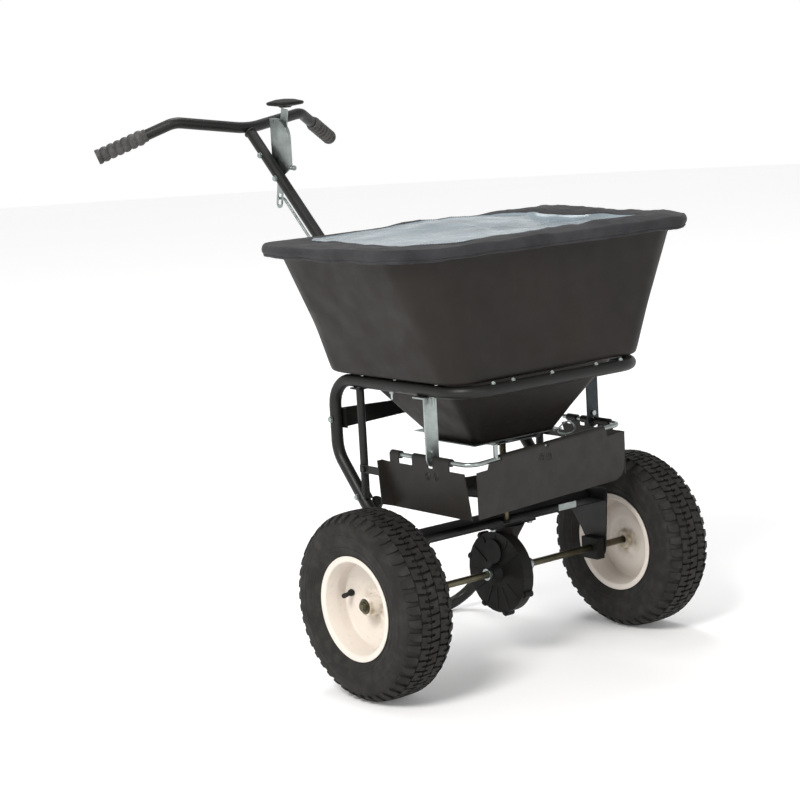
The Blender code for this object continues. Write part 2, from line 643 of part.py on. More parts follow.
def build_crown_gear():
    """Face gear on the axle, teeth towards +X, with a gap between teeth straight above the axle."""
    body_left, root_x, tip_x = -0.0264, -0.0165, -0.0105
    web = turned([(body_left, 0.0120), (body_left, 0.0560), (root_x, 0.0560), (root_x, 0.0450),
                  (body_left + 0.004, 0.0430), (body_left + 0.004, 0.0120), (tip_x, 0.0120),
                  (tip_x, AXLE_RADIUS + GAP), (body_left, AXLE_RADIUS + GAP)],
                 (0, 0, 0), (1, 0, 0), 24)
    teeth = []
    for index in range(CROWN_TEETH):
        angle = 2 * pi * (index + 0.5) / CROWN_TEETH
        outline = [(-0.0023, root_x - 0.001), (0.0023, root_x - 0.001), (0.0011, tip_x), (-0.0011, tip_x)]
        tooth = plate(outline, 0.0100, (0, 0, CROWN_PITCH_RADIUS), (0, 0, 1), (0, -1, 0))
        teeth.append(moved(tooth, Matrix.Rotation(angle, 4, "X")))
    return web, teeth


def build_drive():
    """Axle with its crown gear, collars, washers and pins."""
    axle = (0, 0, AXLE_Z)
    reach = TRACK_HALF + HUB_HALF_LENGTH + 0.0085
    finish("drive_axle", cylinder((-reach, 0, 0), (reach, 0, 0), AXLE_RADIUS, 16), AXLE_STEEL, axle)
    web, teeth = build_crown_gear()
    finish("crown_gear", united(web, joined(teeth)), BLACK_PLASTIC, axle)
    inner = AXLE_RADIUS + GAP
    collar = [(-0.003, inner), (-0.003, 0.0110), (0.003, 0.0110), (0.003, inner)]
    washer = [(0.0, inner), (0.0, 0.0120), (0.0020, 0.0120), (0.0020, 0.0085), (0.0060, 0.0085), (0.0060, inner)]
    outer = TRACK_HALF + HUB_HALF_LENGTH + 0.0005
    for name, s in (("left", -1), ("right", 1)):
        finish("axle_collar_" + name, turned(collar, (s * 0.050, 0, 0), (s, 0, 0), 16), ZINC, axle)
        finish("axle_clip_" + name, turned(washer, (s * outer, 0, 0), (s, 0, 0), 16), AXLE_STEEL, axle)


def build_spinner():
    """Vertical shaft with its pinion, the four-finned spinner and the agitator in the outlet."""
    top = 0.447
    finish("vertical_shaft", cylinder((0, 0, 0.2015), (0, 0, top), SHAFT_RADIUS, 16), AXLE_STEEL)
    outline = tooth_ring(PINION_TEETH, 0.0102, 0.0150, 0.54, 0.22, 180)
    pinion = plate(outline, 0.0084, (0, 0, MESH_Z), (0, 0, 1), (1, 0, 0))
    bore = cylinder((0, 0, MESH_Z - 0.02), (0, 0, MESH_Z + 0.02), SHAFT_RADIUS + GAP, 16)
    finish("pinion", cut(pinion, bore), AXLE_STEEL)
    inner = SHAFT_RADIUS + GAP
    disc = turned([(0.0, inner), (0.0, SPINNER_RADIUS), (0.003, SPINNER_RADIUS), (0.003, 0.018),
                   (0.026, 0.014), (0.026, inner)], (0, 0, SPINNER_Z), (0, 0, 1), 32)
    fins = []
    for index in range(4):
        fin = plate([(0.012, 0.0015), (0.100, 0.0015), (0.100, 0.016), (0.012, 0.022)], 0.0025,
                    (0, 0, SPINNER_Z), (0, -1, 0), (1, 0, 0))
        fins.append(moved(fin, Matrix.Rotation(index * pi / 2 + pi / 4, 4, "Z")))
    finish("spinner", united(disc, *fins), BLACK_PLASTIC)
    hub = turned([(-0.006, inner), (-0.006, 0.011), (0.006, 0.011), (0.006, inner)], (0, 0, 0.438), (0, 0, 1), 16)
    arms = []
    for s in (-1, 1):
        arms.append(tube(rounded_path([(s * 0.0095, 0, 0.438), (s * 0.036, 0, 0.438), (s * 0.040, 0, 0.458)],
                                      (0.006,), 3), 0.0025, 8))
    finish("agitator", united(hub, *arms), ZINC)


# ---------------------------------------------------------------- wheels
def valve_at(s, out):
    """A point on the valve's axis, which stands square on the sloping face of the wheel disc."""
    lean = radians(16)
    along = -0.0013 + cos(lean) * out
    radius = 0.0640 - sin(lean) * out
    return s * along, radius * cos(VALVE_ANGLE), radius * sin(VALVE_ANGLE)


def build_wheels():
    """Pressed steel rims with pneumatic turf tyres."""
    lip, half = RIM_LIP_RADIUS + 0.001, RIM_HALF_WIDTH
    bore = AXLE_RADIUS + 0.0005
    rim = [(half, lip), (0.0425, lip), (0.0415, 0.0830), (0.0200, 0.0780), (-0.0200, 0.0780),
           (-0.0415, 0.0830), (-0.0425, lip), (-half, lip), (-0.0437, 0.0810), (-0.0210, 0.0755),
           (-0.0010, 0.0755), (-0.0100, 0.0450), (-0.0100, 0.0180), (-HUB_HALF_LENGTH, 0.0165),
           (-HUB_HALF_LENGTH, bore), (HUB_HALF_LENGTH, bore), (HUB_HALF_LENGTH, 0.0165), (-0.0070, 0.0190),
           (-0.0070, 0.0440), (0.0020, 0.0755), (0.0210, 0.0755), (0.0437, 0.0810)]
    wide = TYRE_HALF_WIDTH
    outer = [(0.0400, 0.0845), (0.0408, 0.0925), (wide - 0.004, 0.1060), (wide, 0.1270),
             (wide - 0.002, 0.1430), (wide - 0.010, 0.1580), (0.0240, 0.1640), (0.0, AXLE_Z)]
    inner = [(0.0, 0.1580), (wide - 0.014, 0.1520), (wide - 0.006, 0.1270), (wide - 0.011, 0.1080),
             (0.0360, 0.0845)]
    tyre = outer + [(-x, r) for x, r in outer[-2::-1]] + [(-x, r) for x, r in inner[::-1]] + inner[1:]
    for name, s in (("left", -1), ("right", 1)):
        centre = (s * TRACK_HALF, 0, AXLE_Z)
        finish("rim_" + name, turned(rim, (0, 0, 0), (s, 0, 0), 24), CREAM_PAINT, centre)
        finish("tyre_" + name, turned(tyre, (0, 0, 0), (s, 0, 0), 24), RUBBER, centre)
        stem = cylinder(valve_at(s, GAP), valve_at(s, GAP + VALVE_LENGTH), 0.0040, 10)
        finish("valve_" + name, stem, RUBBER, centre)


# ---------------------------------------------------------------- handle and control
def build_handle():
    down = Vector((0, -cos(STEM_ANGLE), -sin(STEM_ANGLE)))
    top = BAR_MIDDLE + down * (TUBE_RADIUS + 0.0006)
    face = LOOP_REAR + 0.002 + GAP
    foot_y = face + TUBE_RADIUS * sin(STEM_ANGLE) + 0.0015
    low = top + down * ((top.y - foot_y) / cos(STEM_ANGLE))
    stem = tube([top, low], TUBE_RADIUS, 16, TUBE_WALL)
    pad = box((0.040, 0.004, 0.030), (0, face + 0.002, REAR_BAR_Z))
    finish("handle_stem", stem, BLACK_STEEL)
    finish("stem_foot", pad, BLACK_STEEL)
    flip = Vector((-1, 1, 1))
    grip_along = (GRIP_END - BAR_BEND).normalized()
    grip_start = GRIP_END - grip_along * GRIP_LENGTH
    bar_end = GRIP_END - grip_along * 0.006
    right = [bar_end, BAR_BEND, BAR_MIDDLE]
    path = rounded_path(right + [point * flip for point in right[1::-1]], (0.045, 0.120, 0.045), 4)
    finish("handle_bar", tube(path, TUBE_RADIUS, 10, TUBE_WALL), BLACK_STEEL)
    length = GRIP_LENGTH
    inner = TUBE_RADIUS + 2 * GAP
    profile = [(length, 0.0), (length, 0.0130)]
    for index in range(GRIP_RIBS):
        start = length - 0.006 - index * (length - 0.012) / GRIP_RIBS
        profile += [(start, GRIP_RADIUS), (start - 0.010, GRIP_RADIUS), (start - 0.012, 0.0132)]
    profile += [(0.0, 0.0135), (0.0, inner), (length - 0.0055, inner), (length - 0.0055, 0.0)]
    for name, sign in (("right", 1), ("left", -1)):
        start = Vector((grip_start.x * sign, grip_start.y, grip_start.z))
        along = Vector((grip_along.x * sign, grip_along.y, grip_along.z))
        finish("grip_" + name, turned(profile, start, along, 12, closed=False), RUBBER)


def build_gauge():
    """Quadrant plate on the stem, its round front edge turned in beside the lever."""
    pivot = LEVER_PIVOT
    flange = 0.0080
    left = TUBE_RADIUS + GAP
    rear = 0.0165
    top, low = 0.0935, -0.0260
    round_deep, round_tall = 0.046, 0.038
    edge = [(rear, top)]
    for across, up in arc((0, 0), 1.0, 90, 180, 7):
        edge.append((GAUGE_FRONT + round_deep * (1 + across), top + round_tall * (up - 1)))
    edge.append((GAUGE_FRONT, low + 0.020))
    side = edge + [(GAUGE_FRONT + 0.034, low), (rear, 0.0)]
    leaf = plate(side, GAUGE_SHEET, (left + GAUGE_SHEET / 2, pivot.y, pivot.z), (1, 0, 0), (0, 1, 0))
    band = plate(strip(edge, GAUGE_SHEET), flange, (left + flange / 2, pivot.y, pivot.z), (1, 0, 0), (0, 1, 0))
    finish("gauge_plate", united(leaf, band), ZINC)
    down = Vector((0, -cos(STEM_ANGLE), -sin(STEM_ANGLE)))
    for name, share in (("upper", -0.033), ("lower", 0.031)):
        centre = Vector((0, pivot.y, pivot.z)) + down * share
        head = bolt(centre + Vector((-TUBE_RADIUS - GAP, 0, 0)), (-1, 0, 0), 0.0060, 0.005)
        finish("gauge_bolt_" + name, head, ZINC)


def build_lever():
    """Flat lever with its knob, turning on a shouldered bolt beside the stem."""
    along = Vector((0, -sin(LEVER_TILT), cos(LEVER_TILT)))
    across = Vector((0, cos(LEVER_TILT), sin(LEVER_TILT)))
    top, low = LEVER_TOP, -0.076
    outline = [(-0.010, top), (-0.010, -0.006), (-0.009, low)] + arc((0, low), 0.009, 180, 360, 6)[1:]
    outline += [(0.010, -0.006), (0.010, top)]
    strap = plate(outline, 0.003, (0, 0, 0), (1, 0, 0), across)
    bore = cylinder((-0.01, 0, 0), (0.01, 0, 0), 0.0042, 14)
    half, slot_top, slot_low = 0.0055, -0.0550, -0.0780
    slot = plate([(-half, slot_top), (-half, slot_low), (half, slot_low), (half, slot_top)], 0.02,
                 (0, 0, 0), (1, 0, 0), across)
    finish("lever", cut(strap, bore, slot), ZINC, LEVER_PIVOT)
    knob = turned([(0.0024, 0.0), (0.0024, 0.0110), (0.0050, 0.0120), (0.0085, KNOB_RADIUS - 0.0030),
                   (0.0120, KNOB_RADIUS), (0.0150, KNOB_RADIUS - 0.0025), (0.0190, 0.0180), (0.0200, 0.0)],
                  along * top + Vector((0.002, 0, 0)), (0, 0, 1), 24, closed=False)
    finish("lever_knob", knob, BLACK_PLASTIC, LEVER_PIVOT)
    x = LEVER_PIVOT.x
    inner = TUBE_RADIUS + 0.002 + 2 * GAP
    pin = [(inner - x, 0.0), (inner - x, 0.0070), (-0.0018, 0.0070), (-0.0018, 0.0038), (0.0018, 0.0038),
           (0.0018, 0.0070), (0.0058, 0.0070), (0.0058, 0.0)]
    finish("lever_pivot_bolt", turned(pin, LEVER_PIVOT, (1, 0, 0), 14, closed=False), ZINC)
    face = LEVER_PIVOT + Vector((0, GAUGE_FRONT - GAUGE_SHEET / 2 - GAP, -0.003))
    face.x = TUBE_RADIUS + 0.0050
    stop = turned([(0.0, 0.0), (0.0, 0.0042), (0.0020, 0.0042), (0.0030, 0.0028), (0.0060, 0.0028),
                   (0.0068, 0.0050), (0.0105, 0.0050), (0.0105, 0.0)], face, (0, -1, 0), 14, closed=False)
    finish("stop_screw", stop, ZINC)


# ---------------------------------------------------------------- rain cover
def build_cover():
    """Fabric cover over the rim, a plain shell of its outer shape."""
    def level(height, inset):
        return ring(0.3540 - inset, -0.1760 + inset, 0.2510 - inset, 0.084 - inset, height)

    sheet = COVER_SHEET
    hem = RIM_TOP_Z - RIM_LIP - 0.003
    top = RIM_TOP_Z + 0.006
    outer = [level(hem, 0.0), level(top, 0.0), level(top + 0.004, 0.010)]
    inner = [level(top + 0.004 - sheet, 0.011), level(top - 0.001, sheet), level(hem, sheet)]
    made = bmesh.new()
    loops = [[made.verts.new(point) for point in points] for points in outer + inner]
    count = len(loops[0])
    pairs = [(0, 1), (1, 2), (3, 4), (4, 5), (5, 0)]
    for one, two in pairs:
        for step in range(count):
            follow = (step + 1) % count
            made.faces.new((loops[one][step], loops[one][follow], loops[two][follow], loops[two][step]))
    made.faces.new(loops[2])
    made.faces.new(loops[3][::-1])
    finish("rain_cover", to_mesh(made), CLOTH)


def clear_scene():
    for piece in list(bpy.data.objects):
        bpy.data.objects.remove(piece, do_unlink=True)


def main():
    clear_scene()
    build_frame()
    build_rear_bar()
    build_cross_bar()
    build_axle_brackets()
    build_braces()
    build_stand()
    build_frame_bolts()
    build_hangers()
    build_rod()
    build_side_panels()
    build_front_panel()
    build_side_links()
    build_hopper()
    build_outlet()
    build_gate()
    build_control_rod()
    build_gearbox()
    build_drive()
    build_spinner()
    build_wheels()
    build_handle()
    build_gauge()
    build_lever()
    build_cover()


main()
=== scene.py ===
"""Looks of the walk-behind spreader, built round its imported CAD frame. Metres, +Z up, -Y to the front."""
import json
from math import atan2, cos, pi, radians, sin

import bmesh
import bpy
from mathutils import Matrix, Vector, noise

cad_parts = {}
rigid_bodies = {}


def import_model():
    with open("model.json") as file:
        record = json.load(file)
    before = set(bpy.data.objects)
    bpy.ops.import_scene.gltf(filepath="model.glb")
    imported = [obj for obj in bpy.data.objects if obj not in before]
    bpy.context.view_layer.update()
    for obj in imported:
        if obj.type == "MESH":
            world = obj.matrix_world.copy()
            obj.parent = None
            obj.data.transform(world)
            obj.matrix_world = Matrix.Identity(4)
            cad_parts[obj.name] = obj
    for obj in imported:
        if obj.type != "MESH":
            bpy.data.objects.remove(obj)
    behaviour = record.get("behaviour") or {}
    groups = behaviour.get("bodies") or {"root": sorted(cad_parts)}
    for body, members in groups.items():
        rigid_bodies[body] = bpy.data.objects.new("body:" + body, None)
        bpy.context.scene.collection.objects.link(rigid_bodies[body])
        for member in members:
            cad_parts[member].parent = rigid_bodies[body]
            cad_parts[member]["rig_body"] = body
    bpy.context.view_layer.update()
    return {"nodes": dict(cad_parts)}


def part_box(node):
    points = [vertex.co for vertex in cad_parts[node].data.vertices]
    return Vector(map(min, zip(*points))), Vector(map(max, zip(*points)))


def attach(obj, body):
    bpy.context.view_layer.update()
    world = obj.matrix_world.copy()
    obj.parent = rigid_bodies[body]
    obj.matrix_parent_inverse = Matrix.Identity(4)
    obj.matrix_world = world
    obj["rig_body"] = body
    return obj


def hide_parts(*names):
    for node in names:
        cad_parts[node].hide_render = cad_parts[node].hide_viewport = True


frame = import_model()


NODES = frame["nodes"]


def middle(node):
    low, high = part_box(node)
    return (low + high) / 2


AXLE = middle("drive_axle")
AXLE.x = 0.0
TRACK = middle("tyre_right").x
TYRE_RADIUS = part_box("tyre_right")[1].z - AXLE.z
TYRE_HALF = (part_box("tyre_right")[1].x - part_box("tyre_right")[0].x) / 2
RIM_HALF = (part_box("rim_right")[1].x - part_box("rim_right")[0].x) / 2
RIM_LIP = (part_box("rim_right")[1].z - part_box("rim_right")[0].z) / 2
TUBE = 0.011                # radius of the frame's and the handle's tube
LOOP_SIDE = 0.211           # from the middle plane to the loop's side runs
LOOP_FRONT, LOOP_REAR, LOOP_Z = -0.151, 0.205, 0.5255
ROD_Z = 0.406               # height of the rod that carries the deflector panels
WELD_GAP = 2e-6             # corners of a CAD solid closer than this are one
ZERO_GAP = 1e-6             # joins the points of a spun section that lie on its axis
FLOOR_RADIUS = 14.0


def at(x, y, z):
    """A point whose Y is given from the axle."""
    return Vector((x, y + AXLE.y, z))


def mirrored(points):
    """The same points on the other side of the middle plane, in reverse order."""
    return [Vector((-p.x, p.y, p.z)) for p in points[::-1]]


BAR_MIDDLE = at(0.0, 0.715, 0.957)
BAR_BEND = at(0.154, 0.745, 0.979)
GRIP_END = at(0.2865, 0.825, 0.920)


# ---------------------------------------------------------------- camera, light and floor
def build_camera():
    heading, pitch, roll = radians(38.9), radians(9.24), radians(-3.23)
    look = Vector((sin(heading) * cos(pitch), cos(heading) * cos(pitch), -sin(pitch)))
    level = Vector((cos(heading), -sin(heading), 0.0))
    over = level.cross(look)
    right = cos(roll) * level + sin(roll) * over
    up = -sin(roll) * level + cos(roll) * over
    data = bpy.data.cameras.new("camera")
    data.sensor_width = 36.0
    data.lens = 96.4
    data.clip_end = 60.0
    camera = bpy.data.objects.new("camera", data)
    bpy.context.collection.objects.link(camera)
    turn = Matrix((right, up, -look)).transposed()
    stand = at(-2.4899, -2.8033, 1.0923)
    camera.matrix_world = Matrix.Translation(stand) @ turn.to_4x4()
    bpy.context.scene.camera = camera


def area_light(name, place, target, size, power, colour=(1.0, 1.0, 1.0)):
    data = bpy.data.lights.new(name, "AREA")
    data.shape = "DISK"
    data.size = size
    data.energy = power
    data.color = colour
    lamp = bpy.data.objects.new(name, data)
    bpy.context.collection.objects.link(lamp)
    lamp.location = place
    aim = Vector(target) - Vector(place)
    lamp.rotation_euler = aim.to_track_quat("-Z", "Y").to_euler()


def build_studio():
    """Soft daylight: white towards the horizon, dimmer overhead, with the key light from the left."""
    world = bpy.data.worlds.new("studio")
    bpy.context.scene.world = world
    world.use_nodes = True
    tree = world.node_tree
    back = tree.nodes["Background"]
    back.inputs["Color"].default_value = (1.0, 1.0, 1.0, 1.0)
    coordinates = tree.nodes.new("ShaderNodeTexCoord")
    parts = tree.nodes.new("ShaderNodeSeparateXYZ")
    fade = tree.nodes.new("ShaderNodeMapRange")
    tree.links.new(coordinates.outputs["Generated"], parts.inputs[0])
    tree.links.new(parts.outputs["Z"], fade.inputs["Value"])
    fade.inputs["From Min"].default_value = 0.10
    fade.inputs["From Max"].default_value = 0.45
    fade.inputs["To Min"].default_value = 1.0
    fade.inputs["To Max"].default_value = 0.50
    tree.links.new(fade.outputs["Result"], back.inputs["Strength"])
    bpy.context.scene.view_settings.view_transform = "Standard"
    area_light("key", (-4.0, -2.0, 3.9), (0, 0, 0.4), 2.0, 260.0, (1.0, 0.985, 0.96))
    area_light("top", (0.6, 1.2, 4.4), (0, 0, 0.5), 2.4, 90.0)
    area_light("front", (-0.6, -4.6, 1.7), (0, 0, 0.3), 2.0, 26.0)
    made = bmesh.new()
    bmesh.ops.create_circle(made, cap_ends=True, segments=96, radius=FLOOR_RADIUS)
    floor = new_piece("studio_floor", to_mesh(made), studio_white(), None)


# ---------------------------------------------------------------- materials
def srgb(red, green, blue):
    """A colour given as 0 to 255 display values, in linear light."""
    made = []
    for value in (red, green, blue):
        share = value / 255
        made.append(share / 12.92 if share <= 0.04045 else ((share + 0.055) / 1.055) ** 2.4)
    return (*made, 1.0)


def scaled(colour, factor):
    return (*[min(value * factor, 1.0) for value in colour[:3]], 1.0)


class Finish:
    """A Principled material under construction, with its nodes placed on object coordinates."""

    def __init__(self, name, metallic=0.0, gloss=0.5):
        self.made = bpy.data.materials.new(name)
        self.made.use_nodes = True
        self.tree = self.made.node_tree
        self.shader = self.tree.nodes["Principled BSDF"]
        self.shader.inputs["Metallic"].default_value = metallic
        self.shader.inputs["Specular IOR Level"].default_value = gloss
        self.place = self.tree.nodes.new("ShaderNodeTexCoord").outputs["Object"]

    def node(self, kind, **values):
        made = self.tree.nodes.new(kind)
        for key, value in values.items():
            if hasattr(made, key):
                setattr(made, key, value)
            else:
                made.inputs[key.replace("_", " ")].default_value = value
        return made

    def link(self, output, entry):
        self.tree.links.new(output, entry)

    def noise(self, scale, detail=3.0, stretch=None):
        """A noise value; stretch scales the coordinates along each axis."""
        source = self.place
        if stretch is not None:
            mapping = self.node("ShaderNodeMapping")
            mapping.inputs["Scale"].default_value = stretch
            self.link(source, mapping.inputs["Vector"])
            source = mapping.outputs["Vector"]
        made = self.node("ShaderNodeTexNoise", Scale=scale, Detail=detail)
        self.link(source, made.inputs["Vector"])
        return made.outputs["Fac"]

    def spread(self, value, low, high, out_low, out_high):
        made = self.node("ShaderNodeMapRange")
        made.inputs["From Min"].default_value = low
        made.inputs["From Max"].default_value = high
        made.inputs["To Min"].default_value = out_low
        made.inputs["To Max"].default_value = out_high
        self.link(value, made.inputs["Value"])
        return made.outputs["Result"]

    def patches(self, scale, detail, low, high, most=1.0, stretch=None):
        """Noise drawn apart into patches, from 0 to most."""
        return self.spread(self.noise(scale, detail, stretch), low, high, 0.0, most)

    def blend(self, share, one, two):
        """Mix two colours, each a fixed colour or another node's output."""
        made = self.node("ShaderNodeMix", data_type="RGBA")
        self.link(share, made.inputs["Factor"])
        for entry, value in ((made.inputs[6], one), (made.inputs[7], two)):
            if isinstance(value, tuple):
                entry.default_value = value
            else:
                self.link(value, entry)
        return made.outputs[2]

    def colour(self, output):
        self.link(output, self.shader.inputs["Base Color"])

    def roughness(self, output):
        self.link(output, self.shader.inputs["Roughness"])

    def bump(self, height, strength, distance):
        """Add a bump; a second call stacks on the first."""
        made = self.node("ShaderNodeBump", Strength=strength, Distance=distance)
        self.link(height, made.inputs["Height"])
        entry = self.shader.inputs["Normal"]
        if entry.is_linked:
            self.link(entry.links[0].from_socket, made.inputs["Normal"])
        self.link(made.outputs["Normal"], entry)


def studio_white():
    """Floor: faintly mottled white that glows a little more with distance, to meet the horizon."""
    look = Finish("studio_floor")
    look.colour(look.blend(look.noise(0.7), srgb(248, 248, 248), srgb(244, 244, 244)))
    look.shader.inputs["Roughness"].default_value = 0.9
    look.shader.inputs["Specular IOR Level"].default_value = 0.1
    reach = look.node("ShaderNodeVectorMath", operation="LENGTH")
    look.link(look.place, reach.inputs[0])
    look.shader.inputs["Emission Color"].default_value = (1.0, 1.0, 1.0, 1.0)
    glow = look.spread(reach.outputs["Value"], 0.6, 5.0, 0.08, 0.42)
    look.link(glow, look.shader.inputs["Emission Strength"])
    return look.made


def powder_coat(name, colour, rough=(0.36, 0.50)):
    """Satin powder coat: fine orange peel, faint mottling and dust."""
    look = Finish(name, gloss=0.28)
    mottled = look.blend(look.patches(9.0, 3.0, 0.3, 0.7), scaled(colour, 0.82), scaled(colour, 1.22))
    dust = look.patches(120.0, 6.0, 0.58, 0.80, 0.35)
    look.colour(look.blend(dust, mottled, scaled(colour, 2.2)))
    look.roughness(look.spread(look.noise(35.0, 5.0), 0.3, 0.7, *rough))
    look.bump(look.noise(1300.0, 2.0), 0.18, 0.0004)
    return look.made


def zinc_plate(name, colour, rough=(0.26, 0.46), metallic=1.0):
    """Zinc plate: cloudy crystals, drawn scratches and duller patches."""
    look = Finish(name, metallic)
    cloudy = look.blend(look.patches(38.0, 5.0, 0.35, 0.68), scaled(colour, 0.78), scaled(colour, 1.16))
    stain = look.patches(16.0, 6.0, 0.60, 0.78, 0.5)
    look.colour(look.blend(stain, cloudy, scaled(colour, 0.55)))
    look.roughness(look.spread(look.noise(90.0, 6.0), 0.3, 0.75, *rough))
    look.bump(look.noise(420.0, 3.0, (1.0, 1.0, 0.08)), 0.12, 0.0003)
    return look.made


def moulded(name, colour, rough=(0.46, 0.62), grain=900.0, depth=0.0005):
    """Moulded plastic: leather-like grain, soft cloudiness and a little scuffing."""
    look = Finish(name, gloss=0.22)
    cloudy = look.blend(look.patches(5.0, 4.0, 0.3, 0.7), scaled(colour, 0.86), scaled(colour, 1.16))
    scuffs = look.patches(70.0, 8.0, 0.62, 0.80, 0.30, (1.0, 1.0, 0.35))
    look.colour(look.blend(scuffs, cloudy, scaled(colour, 1.9)))
    look.roughness(look.spread(look.noise(22.0, 5.0), 0.3, 0.7, *rough))
    cells = look.node("ShaderNodeTexVoronoi", Scale=grain)
    look.link(look.place, cells.inputs["Vector"])
    look.bump(cells.outputs["Distance"], 0.22, depth)
    return look.made


def rubber(name, colour, rough=(0.62, 0.82), grain=700.0):
    """Rubber with grey dust lying in its grain."""
    look = Finish(name, gloss=0.22)
    dusty = look.blend(look.patches(55.0, 7.0, 0.45, 0.75), colour, scaled(colour, 2.1))
    look.colour(look.blend(look.patches(7.0, 3.0, 0.3, 0.7, 0.5), dusty, scaled(colour, 0.65)))
    look.roughness(look.spread(look.noise(30.0, 5.0), 0.3, 0.7, *rough))
    look.bump(look.noise(grain, 4.0), 0.28, 0.0006)
    return look.made


def wheel_paint(name):
    """Cream paint with a rusty stain round the hub and fine patches of grime."""
    look = Finish(name)
    cream, rust, grime = srgb(216, 207, 197), srgb(136, 118, 78), srgb(160, 149, 132)
    away = look.node("ShaderNodeVectorMath", operation="SUBTRACT")
    look.link(look.place, away.inputs[0])
    away.inputs[1].default_value = AXLE
    flat = look.node("ShaderNodeVectorMath", operation="MULTIPLY")
    look.link(away.outputs[0], flat.inputs[0])
    flat.inputs[1].default_value = (0.0, 1.0, 1.0)
    reach = look.node("ShaderNodeVectorMath", operation="LENGTH")
    look.link(flat.outputs[0], reach.inputs[0])
    patches = look.noise(48.0, 5.0)
    near = look.spread(reach.outputs["Value"], 0.018, 0.040, 0.9, 0.0)
    stained = look.node("ShaderNodeMath", operation="MULTIPLY")
    look.link(near, stained.inputs[0])
    look.link(look.spread(patches, 0.42, 0.68, 0.0, 1.0), stained.inputs[1])
    paint = look.blend(look.patches(6.0, 3.0, 0.3, 0.7), cream, scaled(cream, 0.90))
    dirty = look.blend(look.patches(150.0, 6.0, 0.60, 0.80, 0.35), paint, grime)
    look.colour(look.blend(stained.outputs[0], dirty, rust))
    look.roughness(look.spread(look.noise(25.0, 4.0), 0.3, 0.7, 0.30, 0.46))
    look.bump(look.noise(800.0, 2.0), 0.10, 0.0003)
    return look.made


def cloth(name, colour):
    """Coated woven fabric: fine crossed weave, slubs and faded folds."""
    look = Finish(name, gloss=0.15)
    warp = look.node("ShaderNodeTexWave", Scale=420.0, Distortion=0.6)
    weft = look.node("ShaderNodeTexWave", Scale=420.0, Distortion=0.6, bands_direction="Y")
    look.link(look.place, warp.inputs["Vector"])
    look.link(look.place, weft.inputs["Vector"])
    woven = look.node("ShaderNodeMath", operation="MAXIMUM")
    look.link(warp.outputs["Fac"], woven.inputs[0])
    look.link(weft.outputs["Fac"], woven.inputs[1])
    faded = look.blend(look.patches(14.0, 6.0, 0.35, 0.70), scaled(colour, 0.75), scaled(colour, 1.45))
    flecks = look.patches(520.0, 3.0, 0.60, 0.78, 0.5)
    look.colour(look.blend(flecks, faded, scaled(colour, 2.6)))
    look.roughness(look.spread(look.noise(60.0, 4.0), 0.3, 0.7, 0.74, 0.90))
    look.shader.inputs["Sheen Weight"].default_value = 0.06
    look.bump(woven.outputs[0], 0.25, 0.0004)
    look.bump(look.noise(75.0, 5.0), 0.35, 0.0020)
    return look.made


def vinyl(name, colour):
    """Clear vinyl gone milky, with fine creases."""
    look = Finish(name, gloss=0.4)
    milky = look.patches(9.0, 5.0, 0.35, 0.68, stretch=(0.5, 1.6, 1.0))
    look.colour(look.blend(milky, scaled(colour, 0.72), scaled(colour, 1.12)))
    look.roughness(look.spread(look.noise(18.0, 4.0), 0.3, 0.7, 0.16, 0.34))
    look.shader.inputs["Alpha"].default_value = 0.88
    look.shader.inputs["Coat Weight"].default_value = 0.15
    look.bump(look.noise(26.0, 6.0, (0.6, 1.7, 1.0)), 0.45, 0.0030)
    return look.made


# ---------------------------------------------------------------- shapes
def to_mesh(made):
    bmesh.ops.recalc_face_normals(made, faces=made.faces)
    mesh = bpy.data.meshes.new("shape")
    made.to_mesh(mesh)
    made.free()
    return mesh


def new_piece(name, mesh, look, body, smooth=35, bevel=0.0, stands_for=()):
    """Link a mesh as a finished piece that rides on a body."""
    mesh.name = name
    if look is not None:
        mesh.materials.clear()
        mesh.materials.append(look)
    mesh.shade_smooth()
    mesh.set_sharp_from_angle(angle=radians(smooth))
    piece = bpy.data.objects.new(name, mesh)
    bpy.context.collection.objects.link(piece)
    if bevel:
        edge = piece.modifiers.new("edges", "BEVEL")
        edge.width = bevel
        edge.segments = 2
        edge.limit_method = "ANGLE"
        edge.angle_limit = radians(38)
        edge.harden_normals = True
    if body is not None:
        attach(piece, body)
    if stands_for:
        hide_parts(*stands_for)
    return piece


def gathered(meshes):
    """Several meshes in one."""
    made = bmesh.new()
    for mesh in meshes:
        made.from_mesh(mesh)
    return to_mesh(made)


def welded(node):
    """The faces of a CAD solid with their corners joined."""
    made = bmesh.new()
    made.from_mesh(NODES[node].data)
    bmesh.ops.remove_doubles(made, verts=made.verts, dist=WELD_GAP)
    return made


def refine(node, look, smooth=32, bevel=0.0006):
    """A copy of a CAD solid with welded corners, smooth round faces and softened edges."""
    made = welded(node)
    bmesh.ops.dissolve_limit(made, angle_limit=radians(0.6), verts=made.verts, edges=made.edges)
    new_piece(node + "_look", to_mesh(made), look, NODES[node]["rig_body"], smooth, bevel, (node,))


def eased(points, reach, steps=4):
    """Replace each inner corner of a chain of points by a short curve; points may have any size."""
    made = [points[0]]
    for before, corner, after in zip(points, points[1:], points[2:]):
        into = [b - c for b, c in zip(before, corner)]
        out = [a - c for a, c in zip(after, corner)]
        in_length = max(sum(v * v for v in into) ** 0.5, 1e-9)
        out_length = max(sum(v * v for v in out) ** 0.5, 1e-9)
        cut = min(reach, 0.45 * in_length, 0.45 * out_length)
        first = [c + v * cut / in_length for c, v in zip(corner, into)]
        last = [c + v * cut / out_length for c, v in zip(corner, out)]
        for step in range(steps + 1):
            share = step / steps
            made.append(tuple((1 - share) ** 2 * f + 2 * share * (1 - share) * c + share ** 2 * g
                              for f, c, g in zip(first, corner, last)))
    made.append(points[-1])
    return made


